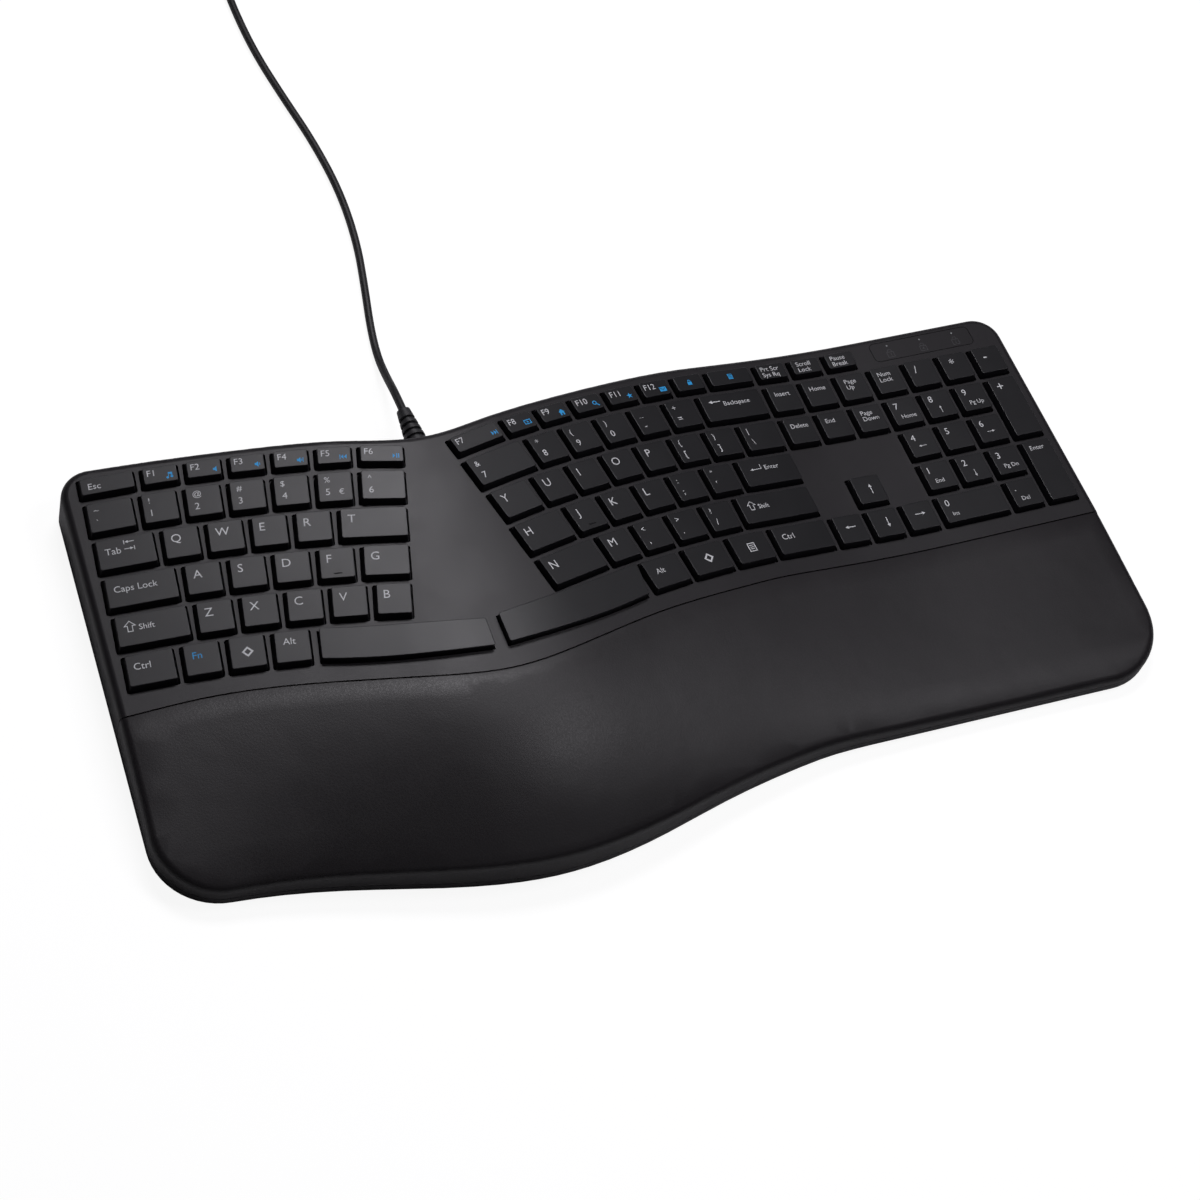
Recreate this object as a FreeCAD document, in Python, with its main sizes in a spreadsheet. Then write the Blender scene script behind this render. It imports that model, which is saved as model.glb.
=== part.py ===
import FreeCAD, Part
import math
import os
import Sketcher

os.makedirs("parts", exist_ok=True)
V = FreeCAD.Vector
doc = FreeCAD.newDocument("ergonomic_keyboard")

# Frame: X runs along the straight rows towards the number pad, Y towards the back edge, Z up.
# The origin is at the middle of the housing's footprint, on the surface that the feet stand on.

# Driving dimensions, in millimetres and degrees
SIZES = {
    "half_length": 241.0,
    "crest_x": -75.5,
    "crest_apex_height": 44.0,
    "flat_height": 15.0,
    "tent_angle": 8.5,
    "crest_round_reach": 40.0,
    "knee_round_reach": 45.0,
    "parting_height": 5.2,
    "floor_height": 1.5,
    "floor_thickness": 1.8,
    "case_skin": 2.0,
    "case_wall": 2.8,
    "case_edge_round": 3.6,
    "back_corner_round": 13.0,
    "left_front_round": 29.0,
    "right_front_round": 32.0,
    "seam_gap": 0.3,
    "cushion_thickness": 5.0,
    "cushion_edge_round": 4.0,
    "cushion_front_height": 9.8,
    "cushion_crest_share": 0.42,
    "cushion_roll": 18.0,
    "cushion_shoulder_share": 0.25,
    "cushion_shoulder_rise": 1.2,
    "cushion_tuck": 4.5,
    "cushion_tuck_share": 0.25,
    "cushion_clearance": 0.3,
    "carrier_skin": 1.8,
    "carrier_inset": 7.0,
    "carrier_back_gap": 0.5,
    "carrier_rib_thickness": 1.6,
    "left_pitch": 18.54,
    "right_pitch": 18.85,
    "row_pitch": 19.1,
    "function_row_offset": 54.4,
    "key_gap": 4.2,
    "key_depth": 14.65,
    "function_key_depth": 8.3,
    "key_rise": 3.2,
    "key_draft": 0.5,
    "key_skirt": 2.2,
    "key_wall": 1.1,
    "key_top_thickness": 1.3,
    "key_corner_round": 1.0,
    "key_edge_round": 0.35,
    "key_travel": 2.4,
    "opening_clearance": 0.5,
    "stem_radius": 1.8,
    "stem_depth": 6.2,
    "stem_clearance": 0.45,
    "sleeve_wall": 0.6,
    "sleeve_top_drop": 1.7,
    "long_key_stem_inset": 6.5,
    "travel_reserve": 0.4,
    "frame_top_drop": "=key_skirt + key_travel + travel_reserve",
    "frame_plate": 1.0,
    "frame_rim": 1.5,
    "frame_bottom_drop": 8.8,
    "layer_gap": 0.05,
    "mat_thickness": 0.4,
    "membrane_thickness": 0.3,
    "backing_thickness": 0.6,
    "field_inset": 5.0,
    "field_boss_clearance": 0.6,
    "dome_radius": 4.0,
    "dome_top_radius": 2.1,
    "dome_wall": 0.6,
    "dome_clearance": 0.3,
    "homing_bar_length": 3.4,
    "homing_bar_width": 0.8,
    "homing_bar_height": 0.4,
    "homing_bar_inset": 2.6,
    "window_length": 55.0,
    "window_depth": 10.4,
    "window_corner_round": 2.5,
    "window_thickness": 0.9,
    "window_seat_gap": 0.05,
    "window_side_gap": 0.3,
    "window_x": 197.2,
    "window_y": 98.8,
    "led_pitch": 18.2,
    "led_radius": 1.5,
    "led_board_thickness": 1.2,
    "led_board_depth": 6.0,
    "led_height": 2.0,
    "led_bore_clearance": 0.3,
    "led_strip_share": 2.6,
    "led_post_radius": 1.5,
    "foot_radius": 7.0,
    "foot_thickness": 1.9,
    "foot_recess": 0.4,
    "foot_recess_clearance": 0.1,
    "foot_edge_round": 0.4,
    "screw_radius": 1.3,
    "screw_length": 9.0,
    "screw_head_radius": 2.6,
    "screw_head_height": 1.6,
    "screw_clearance": 0.15,
    "screw_bore_clearance": 0.05,
    "screw_slot_length": 2.8,
    "screw_slot_width": 0.7,
    "screw_slot_depth": 0.8,
    "boss_radius": 3.6,
    "boss_seat_gap": 0.1,
    "case_rib_thickness": 1.6,
    "case_rib_inset": 3.0,
    "board_length": 46.0,
    "board_depth": 20.0,
    "board_thickness": 1.6,
    "board_post_radius": 2.4,
    "board_post_inset": 4.0,
    "board_below_cord": 3.0,
    "socket_length": 10.0,
    "socket_depth": 4.8,
    "socket_height": 5.6,
    "chip_side": 9.0,
    "chip_height": 1.4,
    "chip_across": -17.0,
    "chip_along": -6.0,
    "tail_socket_length": 16.0,
    "tail_socket_depth": 3.6,
    "tail_socket_height": 2.6,
    "tail_socket_across": 5.0,
    "tail_socket_along": -9.0,
    "crystal_length": 5.0,
    "crystal_depth": 3.2,
    "crystal_height": 1.2,
    "crystal_across": -2.0,
    "crystal_along": -7.0,
    "leg_width": 28.0,
    "leg_length": 14.0,
    "leg_thickness": 3.0,
    "leg_clearance": 0.5,
    "leg_recess": 0.2,
    "leg_pin_radius": 1.1,
    "leg_pin_length": 1.6,
    "leg_pin_clearance": 0.08,
    "leg_pin_end_clearance": 0.3,
    "leg_pocket_wall": 2.4,
    "leg_pocket_roof": 1.6,
    "left_leg_x": -184.0,
    "left_leg_y": 85.0,
    "right_leg_x": 192.0,
    "right_leg_y": 103.5,
    "relief_flange_radius": 8.2,
    "relief_flange_thickness": 2.0,
    "relief_neck_radius": 5.2,
    "relief_root_radius": 6.5,
    "relief_tip_radius": 3.2,
    "relief_length": 29.0,
    "relief_groove_depth": 1.1,
    "relief_groove_width": 1.8,
    "relief_groove_pitch": 3.6,
    "relief_grooves": 5,
    "relief_tip_land": 3.0,
    "relief_fit": 0.1,
    "relief_wall_gap": 0.3,
    "relief_x": -66.5,
    "relief_height": 16.0,
    "cord_radius": 1.9,
    "cord_floor_gap": 0.05,
    "inner_lead_length": 12.6,
    "coil_turns_per_layer": 4,
    "coil_pitch": 4.4,
    "coil_mean_radius": 22.8,
    "coil_lift": 0.9,
    "coil_end_run": 9.5,
    "coil_x": -28.0,
    "coil_y": 434.0,
    "tie_thickness": 0.6,
    "tie_width": 5.0,
    "tie_clearance": 0.15,
    "plug_width": 14.0,
    "plug_height": 8.0,
    "plug_length": 20.0,
    "plug_round": 1.6,
    "plug_neck_radius": 2.9,
    "plug_neck_length": 7.0,
    "shell_width": 12.0,
    "shell_height": 4.5,
    "shell_length": 12.0,
    "shell_wall": 0.3,
    "tongue_height": 1.8,
    "tongue_base_length": 3.0,
    "tongue_setback": 0.5,
    "tongue_fit": 0.05,
}
sheet = doc.addObject("Spreadsheet::Sheet", "Sizes")
for row_number, (alias, value) in enumerate(SIZES.items(), start=1):
    sheet.set("A%d" % row_number, alias)
    sheet.set("B%d" % row_number, str(value))
    sheet.setAlias("B%d" % row_number, alias)
doc.recompute()


def size(alias):
    return float(sheet.get(alias))


# Tent profile of the housing's top: a left slope, a rounded crest, a right slope and a flat
slope = math.tan(math.radians(size("tent_angle")))
crest_x = size("crest_x")
apex = size("crest_apex_height")
flat = size("flat_height")
knee_x = crest_x + (apex - flat) / slope
PROFILE_REACH = size("half_length") + 20.0
OUTSIDE = 30.0
FAR = 400.0
DEEP = 80.0
DEPTH_REACH = 150.0


def tent_points(drop, flat_level=flat, crest_level=apex):
    """Straight stretches' ends and the two rounded stretches' middles, as x and z."""
    steep = (crest_level - flat_level) / (knee_x - crest_x)
    crest_reach = size("crest_round_reach")
    knee_reach = size("knee_round_reach")
    crest_cut = steep * crest_reach / 2
    knee_cut = steep * knee_reach / 4
    rows = [
        (-PROFILE_REACH, crest_level - steep * (crest_x + PROFILE_REACH)),
        (crest_x - crest_reach, crest_level - steep * crest_reach),
        (crest_x, crest_level - crest_cut),
        (crest_x + crest_reach, crest_level - steep * crest_reach),
        (knee_x - knee_reach, flat_level + steep * knee_reach),
        (knee_x, flat_level + knee_cut),
        (knee_x + knee_reach, flat_level),
        (PROFILE_REACH, flat_level),
    ]
    return [V(x, 0, z - drop) for x, z in rows]


def tent_height(x):
    """Height of the housing's top surface at x."""
    crest_reach = size("crest_round_reach")
    knee_reach = size("knee_round_reach")
    if x < crest_x - crest_reach:
        return apex - slope * (crest_x - x)
    if x < crest_x + crest_reach:
        level = apex - slope * crest_reach / 2
        return level - slope * (x - crest_x) ** 2 / (2 * crest_reach)
    if x < knee_x - knee_reach:
        return apex - slope * (x - crest_x)
    if x < knee_x + knee_reach:
        return flat + slope * (knee_x + knee_reach - x) ** 2 / (4 * knee_reach)
    return flat


def tent_slope(x):
    """Rise of the housing's top surface per unit of x."""
    crest_reach = size("crest_round_reach")
    knee_reach = size("knee_round_reach")
    if x < crest_x - crest_reach:
        return slope
    if x < crest_x + crest_reach:
        return -slope * (x - crest_x) / crest_reach
    if x < knee_x - knee_reach:
        return -slope
    if x < knee_x + knee_reach:
        return -slope * (knee_x + knee_reach - x) / (2 * knee_reach)
    return 0.0


def tent_edges(points):
    a, b, c, d, e, f, g, h = points
    return [
        Part.LineSegment(a, b).toShape(),
        Part.Arc(b, c, d).toShape(),
        Part.LineSegment(d, e).toShape(),
        Part.Arc(e, f, g).toShape(),
        Part.LineSegment(g, h).toShape(),
    ]


def under_tent(drop):
    """Everything below the tent surface lowered by drop, down to DEEP below the feet."""
    points = tent_points(drop)
    low_left = V(-PROFILE_REACH, 0, -DEEP)
    low_right = V(PROFILE_REACH, 0, -DEEP)
    edges = tent_edges(points)
    edges.append(Part.LineSegment(points[-1], low_right).toShape())
    edges.append(Part.LineSegment(low_right, low_left).toShape())
    edges.append(Part.LineSegment(low_left, points[0]).toShape())
    wire = Part.Wire(Part.__sortEdges__(edges))
    wire.translate(V(0, -DEPTH_REACH, 0))
    return Part.Face(wire).extrude(V(0, 2 * DEPTH_REACH, 0))


def tent_slab(top_drop, bottom_drop):
    """The layer between two lowered copies of the tent surface."""
    top = tent_points(top_drop)
    bottom = tent_points(bottom_drop)
    edges = tent_edges(top) + tent_edges(bottom)
    edges.append(Part.LineSegment(top[0], bottom[0]).toShape())
    edges.append(Part.LineSegment(top[-1], bottom[-1]).toShape())
    wire = Part.Wire(Part.__sortEdges__(edges))
    wire.translate(V(0, -DEPTH_REACH, 0))
    return Part.Face(wire).extrude(V(0, 2 * DEPTH_REACH, 0))


# Plan outline: the left side leans, the back, seam and front are waves that end straight
half = size("half_length")
LEFT_BACK = (-228.1, 116.2)
LEFT_FRONT = (-half, -88.7)
BACK_WAVE = [
    LEFT_BACK,
    (-189.5, 110.6),
    (-149.5, 103.6),
    (-111.5, 95.2),
    (-71.5, 86.8),
    (-39.5, 92.2),
    (0.5, 100.0),
    (45.5, 106.2),
    (95.0, 108.3),
    (half, 108.3),
]
SEAM_WAVE = [
    (-236.0, -7.2),
    (-204.5, -9.0),
    (-159.5, -17.0),
    (-114.5, -29.2),
    (-75.5, -36.2),
    (-34.5, -30.0),
    (5.5, -20.8),
    (50.5, -14.8),
    (105.0, -12.4),
    (half, -12.4),
]
FRONT_WAVE = [
    LEFT_FRONT,
    (-204.5, -91.8),
    (-164.5, -99.1),
    (-119.5, -110.3),
    (-75.5, -116.2),
    (-29.5, -111.2),
    (10.5, -102.0),
    (50.5, -95.6),
    (95.0, -94.6),
    (half, -98.5),
]


def side_x(y):
    """The left side's x at y."""
    lean = (LEFT_BACK[0] - LEFT_FRONT[0]) / (LEFT_BACK[1] - LEFT_FRONT[1])
    return LEFT_FRONT[0] + lean * (y - LEFT_FRONT[1])


def wave_curve(wave, shift):
    """The wavy stretch of an outline as one curve, moved along Y by shift."""
    points = [V(x, y + shift, 0) for x, y in wave[:-1]]
    last = wave[-1]
    straight = V(last[0] - wave[-2][0], last[1] - wave[-2][1], 0)
    first = V(wave[1][0] - wave[0][0], wave[1][1] - wave[0][1], 0)
    curve = Part.BSplineCurve()
    curve.interpolate(
        Points=points,
        InitialTangent=first.normalize() * 40,
        FinalTangent=straight.normalize() * 50,
    )
    return curve


def wave_y(wave, x, shift=0.0):
    """A wave's y at x."""
    if x >= wave[-2][0]:
        share = (x - wave[-2][0]) / (wave[-1][0] - wave[-2][0])
        return wave[-2][1] + share * (wave[-1][1] - wave[-2][1]) + shift
    curve = wave_curve(wave, shift)
    cut = Part.LineSegment(V(x, -FAR, 0), V(x, FAR, 0))
    point = curve.intersect(cut)[0]
    return point.Y


def outline_prism(back, front, back_inset, front_inset, side_inset, z_low, z_high):
    """A vertical block between two waves, inset from each side."""
    left = -half - OUTSIDE
    right = half + OUTSIDE
    pieces = []
    for wave, shift, far in ((back, -back_inset, -FAR), (front, front_inset, FAR)):
        curve = wave_curve(wave, shift)
        start = V(wave[0][0], wave[0][1] + shift, 0)
        bend = V(wave[-2][0], wave[-2][1] + shift, 0)
        end = V(right, wave[-1][1] + shift, 0)
        lead = V(left, wave[0][1] + shift, 0)
        low_right = V(right, far, 0)
        low_left = V(left, far, 0)
        edges = [
            Part.LineSegment(lead, start).toShape(),
            curve.toShape(),
            Part.LineSegment(bend, end).toShape(),
            Part.LineSegment(end, low_right).toShape(),
            Part.LineSegment(low_right, low_left).toShape(),
            Part.LineSegment(low_left, lead).toShape(),
        ]
        face = Part.Face(Part.Wire(edges))
        face.translate(V(0, 0, z_low))
        pieces.append(face.extrude(V(0, 0, z_high - z_low)))
    corners = [
        V(side_x(FAR) + side_inset, FAR, z_low),
        V(side_x(-FAR) + side_inset, -FAR, z_low),
        V(half - side_inset, -FAR, z_low),
        V(half - side_inset, FAR, z_low),
    ]
    sides = Part.Face(Part.makePolygon(corners + corners[:1]))
    block = sides.extrude(V(0, 0, z_high - z_low))
    return block.common(pieces[0]).common(pieces[1]).removeSplitter()


def vertical_edges(shape, test):
    found = []
    for edge in shape.Edges:
        a = edge.Vertexes[0].Point
        b = edge.Vertexes[-1].Point
        if abs(a.x - b.x) < 0.01 and abs(a.y - b.y) < 0.01 and abs(a.z - b.z) > 1:
            if test(a):
                found.append(edge)
    return found


def rounded_corners(block, radius, test):
    edges = vertical_edges(block, test)
    return block.makeFillet(radius, edges) if edges else block




def inner_prism(back, front, back_inset, front_inset, side_inset, radius, z_low, z_high):
    """An outline block whose corners on its outer side are rounded."""
    block = outline_prism(back, front, back_inset, front_inset, side_inset, z_low, z_high)
    return rounded_corners(block, radius, lambda p: p.y > 50)


def flush(shape):
    return shape.removeSplitter()


def add_shape(label, shape):
    """A sub-part whose shape is worked out here from the sheet's sizes."""
    item = doc.addObject("Part::Feature", label)
    item.Label = label
    item.Shape = shape
    item.Placement = FreeCAD.Placement(V(0, 0, 0), FreeCAD.Rotation())
    sub_parts.append(item)
    return item


def value(expression):
    return float(sheet.evalExpression(expression))


def bind(item, bindings):
    for name, expression in bindings.items():
        item.setExpression(name, expression)


def place(item, x="0", y="0", z="0"):
    bind(item, {"Placement.Base.x": x, "Placement.Base.y": y, "Placement.Base.z": z})


def named(item, label):
    item.Label = label
    sub_parts.append(item)
    return item


def box(name, length, width, height, x="0", y="0", z="0"):
    item = doc.addObject("Part::Box", name)
    bind(item, {"Length": length, "Width": width, "Height": height})
    place(item, x, y, z)
    return item


def cylinder(name, radius, height, x="0", y="0", z="0"):
    item = doc.addObject("Part::Cylinder", name)
    bind(item, {"Radius": radius, "Height": height})
    place(item, x, y, z)
    return item


def fused(name, items):
    item = doc.addObject("Part::MultiFuse", name)
    item.Shapes = items
    return item


def cut_out(name, base, tool):
    item = doc.addObject("Part::Cut", name)
    item.Base = base
    item.Tool = tool
    return item


def origin_plane(body, role):
    return next(f for f in body.Origin.OriginFeatures if f.Role == role)


def new_sketch(body, name, role):
    sketch = body.newObject("Sketcher::SketchObject", name)
    sketch.AttachmentSupport = [(origin_plane(body, role), "")]
    sketch.MapMode = "FlatFace"
    return sketch


def polygon_sketch(body, name, role, corners):
    """A closed polygon whose corners are bound to expressions of the sheet."""
    sketch = new_sketch(body, name, role)
    points = [V(value(x), value(y), 0) for x, y in corners]
    count = len(points)
    for i in range(count):
        sketch.addGeometry(Part.LineSegment(points[i], points[(i + 1) % count]))
    for i in range(count):
        sketch.addConstraint(Sketcher.Constraint("Coincident", i, 2, (i + 1) % count, 1))
    for i, (x, y) in enumerate(corners):
        for kind, axis, expression in (("DistanceX", -2, x), ("DistanceY", -1, y)):
            if expression == "0":
                sketch.addConstraint(Sketcher.Constraint("PointOnObject", i, 1, axis))
                continue
            rule = Sketcher.Constraint(kind, -1, 1, i, 1, value(expression))
            index = sketch.addConstraint(rule)
            sketch.setExpression("Constraints[%d]" % index, expression)
    return sketch


def circle_sketch(body, name, role, radius):
    sketch = new_sketch(body, name, role)
    sketch.addGeometry(Part.Circle(V(0, 0, 0), V(0, 0, 1), value(radius)))
    sketch.addConstraint(Sketcher.Constraint("Coincident", 0, 3, -1, 1))
    index = sketch.addConstraint(Sketcher.Constraint("Radius", 0, value(radius)))
    sketch.setExpression("Constraints[%d]" % index, radius)
    return sketch


def pad(body, name, sketch, length, midplane=True):
    item = body.newObject("PartDesign::Pad", name)
    item.Profile = sketch
    if midplane:
        item.SideType = "Symmetric"
    item.setExpression("Length", length)
    sketch.Visibility = False
    return item


sub_parts = []

# Rows of keys: two fans of arcs, one for each hand, that end in the straight number pad
U = size("row_pitch")
FAN_END = 150.0
LEFT_FAN = {"start": (-235.16, 49.90), "heading": -4.983, "turn": -12.715}
RIGHT_FAN = {"start": (-44.81, 23.50), "heading": 14.64, "turn": -14.64}
ROW_OFFSETS = {
    "function": size("function_row_offset"),
    "number": 2 * U,
    "upper": U,
    "home": 0.0,
    "lower": -U,
    "bottom": -2 * U,
}


def fan_point(fan, along, offset):
    """Place and heading at a base distance along a fan and an offset behind its home row."""
    bend = math.radians(fan["turn"]) / FAN_END
    first = math.radians(fan["heading"])
    on_arc = min(along, FAN_END)
    heading = first + bend * on_arc
    x = fan["start"][0] + (math.sin(heading) - math.sin(first)) / bend
    y = fan["start"][1] - (math.cos(heading) - math.cos(first)) / bend
    x += (along - on_arc) * math.cos(heading)
    y += (along - on_arc) * math.sin(heading)
    return x - math.sin(heading) * offset, y + math.cos(heading) * offset, heading


def row_stretch(fan, offset):
    """How much longer a row at this offset is than the home row."""
    return 1 - math.radians(fan["turn"]) / FAN_END * offset


def row_distance(fan, along, offset):
    on_arc = min(along, FAN_END)
    return on_arc * row_stretch(fan, offset) + along - on_arc


def base_distance(fan, distance, offset):
    arc = FAN_END * row_stretch(fan, offset)
    if distance <= arc:
        return distance / row_stretch(fan, offset)
    return FAN_END + distance - arc


class Key:
    def __init__(self, node, x, y, heading, width, depth):
        self.node = node
        self.x = x
        self.y = y
        self.heading = heading
        self.width = width
        self.depth = depth

    def spot(self, across, away):
        """A point of the key's plan from its own across and away distances."""
        cos = math.cos(self.heading)
        sin = math.sin(self.heading)
        return self.x + across * cos - away * sin, self.y + across * sin + away * cos

    def plane_height(self, x):
        return tent_height(self.x) + tent_slope(self.x) * (x - self.x)


def fan_key(node, fan, offset, depth, low, high):
    """A key between two distances along its own row."""
    along = base_distance(fan, (low + high) / 2, offset)
    x, y, heading = fan_point(fan, along, offset)
    return Key(node, x, y, heading, high - low - size("key_gap"), depth)


def row_depth(row):
    return size("function_key_depth") if row == "function" else size("key_depth")


LEFT_END = 138.7
LEFT_ROWS = {
    "function": (7.2, LEFT_END, "function_keys_left", [1.23, 1, 1, 1, 1, 1], "escape_key"),
    "number": (7.6, LEFT_END, "number_keys_left", [1.23, 1, 1, 1, 1, 1], "number_keys_left"),
    "upper": (8.0, LEFT_END, "upper_letters_left", [1.74, 1, 1, 1, 1], "tab_key"),
    "home": (8.2, LEFT_END, "home_letters_left", [1.25, 1, 1, 1, 1], "caps_lock_key"),
    "lower": (8.8, LEFT_END, "lower_letters_left", [1, 1, 1, 1, 1], "shift_key_left"),
    "bottom": (9.5, 93.5, "modifier_keys_left", [1, 1, 1], "control_key_left"),
}
RIGHT_END = 149.0
RIGHT_ROWS = {
    "function": (-4.9, RIGHT_END, "function_keys_right", [1.52, 1, 1, 1, 1, 1], "hot_keys"),
    "number": (-5.7, RIGHT_END, "number_keys_right", [1.79, 1, 1, 1, 1, 1], "backspace_key"),
    "upper": (-5.7, RIGHT_END, "upper_letters_right", [1.24, 1, 1, 1, 1, 1, 1], "upper_letters_right"),
    "home": (-6.7, RIGHT_END, "home_letters_right", [1.5, 1, 1, 1, 1, 1], "enter_key"),
    "lower": (-7.1, RIGHT_END, "lower_letters_right", [1.74, 1, 1, 1, 1], "shift_key_right"),
    "bottom": (38.1, RIGHT_END, "modifier_keys_right", [1.23, 1.285, 1.245], "control_key_right"),
}
NAVIGATION_START = 149.2
NAVIGATION_PITCH = 18.9
NAVIGATION_ROWS = {
    "function": ("system_keys", [0, 1, 2]),
    "number": ("navigation_keys", [0, 1, 2]),
    "upper": ("navigation_keys", [0, 1, 2]),
    "lower": ("arrow_keys", [1]),
    "bottom": ("arrow_keys", [0, 1, 2]),
}
NUMPAD_START = 206.1
NUMPAD_PITCH = 18.85
NUMPAD_ROWS = {
    "number": ("numpad_top_row", [(0, 1), (1, 1), (2, 1), (3, 1)]),
    "upper": ("numpad_row_789", [(0, 1), (1, 1), (2, 1)]),
    "home": ("numpad_row_456", [(0, 1), (1, 1), (2, 1)]),
    "lower": ("numpad_row_123", [(0, 1), (1, 1), (2, 1)]),
}


def block_key(node, start, pitch, column, columns, offset, depth):
    """A key of a straight block of columns."""
    low = row_distance(RIGHT_FAN, start + pitch * column, offset)
    high = row_distance(RIGHT_FAN, start + pitch * (column + columns), offset)
    return fan_key(node, RIGHT_FAN, offset, depth, low, high)


def make_keys():
    keys = []
    for row, (start, end, node, widths, edge_node) in LEFT_ROWS.items():
        offset = ROW_OFFSETS[row]
        depth = row_depth(row)
        high = row_distance(LEFT_FAN, end, offset)
        for width in widths:
            low = high - width * size("left_pitch")
            keys.append(fan_key(node, LEFT_FAN, offset, depth, low, high))
            high = low
        low = row_distance(LEFT_FAN, start, offset)
        keys.append(fan_key(edge_node, LEFT_FAN, offset, depth, low, high))
    for row, (start, end, node, widths, edge_node) in RIGHT_ROWS.items():
        offset = ROW_OFFSETS[row]
        depth = row_depth(row)
        low = row_distance(RIGHT_FAN, start, offset)
        extra = [1] if row == "function" else []
        for index, width in enumerate(widths + extra):
            high = low + width * size("right_pitch")
            key_node = edge_node if index == len(widths) else node
            keys.append(fan_key(key_node, RIGHT_FAN, offset, depth, low, high))
            low = high
        high = row_distance(RIGHT_FAN, end, offset)
        keys.append(fan_key(edge_node, RIGHT_FAN, offset, depth, low, high))
    for row, (node, columns) in NAVIGATION_ROWS.items():
        for column in columns:
            keys.append(block_key(node, NAVIGATION_START, NAVIGATION_PITCH, column, 1,
                                  ROW_OFFSETS[row], row_depth(row)))
    for row, (node, columns) in NUMPAD_ROWS.items():
        for column, count in columns:
            keys.append(block_key(node, NUMPAD_START, NUMPAD_PITCH, column, count,
                                  ROW_OFFSETS[row], row_depth(row)))
    tall = U + size("key_depth")
    keys.append(block_key("numpad_plus_key", NUMPAD_START, NUMPAD_PITCH, 3, 1, U / 2, tall))
    keys.append(block_key("numpad_enter_key", NUMPAD_START, NUMPAD_PITCH, 3, 1, -1.5 * U, tall))
    keys.append(block_key("numpad_zero_key", NUMPAD_START, NUMPAD_PITCH, 0, 2, -2 * U,
                          size("key_depth")))
    keys.append(block_key("numpad_dot_key", NUMPAD_START, NUMPAD_PITCH, 2, 1, -2 * U,
                          size("key_depth")))
    return keys


# Space bars: the back and front edges of their top faces, left to right
SPACE_BARS = {
    "space_bar_left": {
        "back": [(-147.2, 4.4), (-112.0, -5.6), (-80.4, -12.5)],
        "front": [(-150.5, -8.9), (-114.0, -19.6), (-81.0, -25.3)],
    },
    "space_bar_right": {
        "back": [(-73.3, -11.6), (-38.0, -6.0), (-2.0, 2.2)],
        "front": [(-73.3, -25.2), (-38.0, -21.4), (-2.2, -13.2)],
    },
}

LONG_KEY_SHARE = 1.6
HOMING_KEYS = {("home_letters_left", 1), ("home_letters_right", 1)}


def side_growth():
    """How much a key's side moves out for each millimetre down."""
    return size("key_draft") / size("key_rise")


def key_block(key, bottom, top, inset):
    """A tapered block whose ends lie along the housing's slope at the key."""
    rings = []
    for level in (bottom, top):
        grow = (size("key_rise") - level) * side_growth() - inset
        half_width = key.width / 2 + grow
        half_depth = key.depth / 2 + grow
        ring = []
        for across, away in ((-1, -1), (1, -1), (1, 1), (-1, 1)):
            x, y = key.spot(across * half_width, away * half_depth)
            ring.append(V(x, y, key.plane_height(x) + level))
        rings.append(ring)
    wires = [Part.makePolygon(ring + ring[:1]) for ring in rings]
    return Part.makeLoft(wires, True, True)


def steep_edges(solid):
    """Edges that run from the underside to the top."""
    found = []
    for edge in solid.Edges:
        a = edge.Vertexes[0].Point
        b = edge.Vertexes[-1].Point
        plan = math.hypot(a.x - b.x, a.y - b.y)
        if abs(a.z - b.z) > plan:
            found.append(edge)
    return found


def rounded_key(key):
    solid = key_block(key, -size("key_skirt"), size("key_rise"), 0.0)
    solid = solid.makeFillet(size("key_corner_round"), steep_edges(solid))
    top = max(solid.Faces, key=lambda f: f.CenterOfMass.z - key.plane_height(f.CenterOfMass.x))
    return solid.makeFillet(size("key_edge_round"), top.Edges)


def stem_spots(key):
    """One guide stem under a short key, and three under a long one."""
    long_side = max(key.width, key.depth)
    spots = [key.spot(0, 0)]
    if long_side > LONG_KEY_SHARE * size("key_depth"):
        reach = long_side / 2 - size("long_key_stem_inset")
        for side in (-1, 1):
            if key.width >= key.depth:
                spots.append(key.spot(side * reach, 0))
            else:
                spots.append(key.spot(0, side * reach))
    return spots


def stem(x, y, radius, top_level, bottom_level):
    """A vertical cylinder between two levels over the housing's surface at its place."""
    low = tent_height(x) + bottom_level
    high = tent_height(x) + top_level
    return Part.makeCylinder(radius, high - low, V(x, y, low))


def homing_bar(key):
    """A raised bar near the front of a key's top, half sunk into it."""
    length = size("homing_bar_length")
    width = size("homing_bar_width")
    height = size("homing_bar_height")
    x, y = key.spot(0, size("homing_bar_inset") - key.depth / 2)
    bar = Part.makeBox(length, width, 2 * height)
    bar.translate(V(-length / 2, -width / 2, -height))
    bar.rotate(V(0, 0, 0), V(0, 1, 0), -math.degrees(math.atan(tent_slope(key.x))))
    bar.rotate(V(0, 0, 0), V(0, 0, 1), math.degrees(key.heading))
    bar.translate(V(x, y, key.plane_height(x) + size("key_rise")))
    return bar


def key_solid(key, homing):
    outer = rounded_key(key)
    roof = size("key_rise") - size("key_top_thickness")
    hollow = key_block(key, -size("key_skirt") - 1, roof, size("key_wall"))
    shell = outer.cut(hollow)
    stems = [
        stem(x, y, size("stem_radius"), roof + size("key_top_thickness") / 2, -size("stem_depth"))
        for x, y in stem_spots(key)
    ]
    solid = shell.multiFuse(stems)
    if homing:
        solid = solid.fuse(homing_bar(key))
    return flush(solid)


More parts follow.
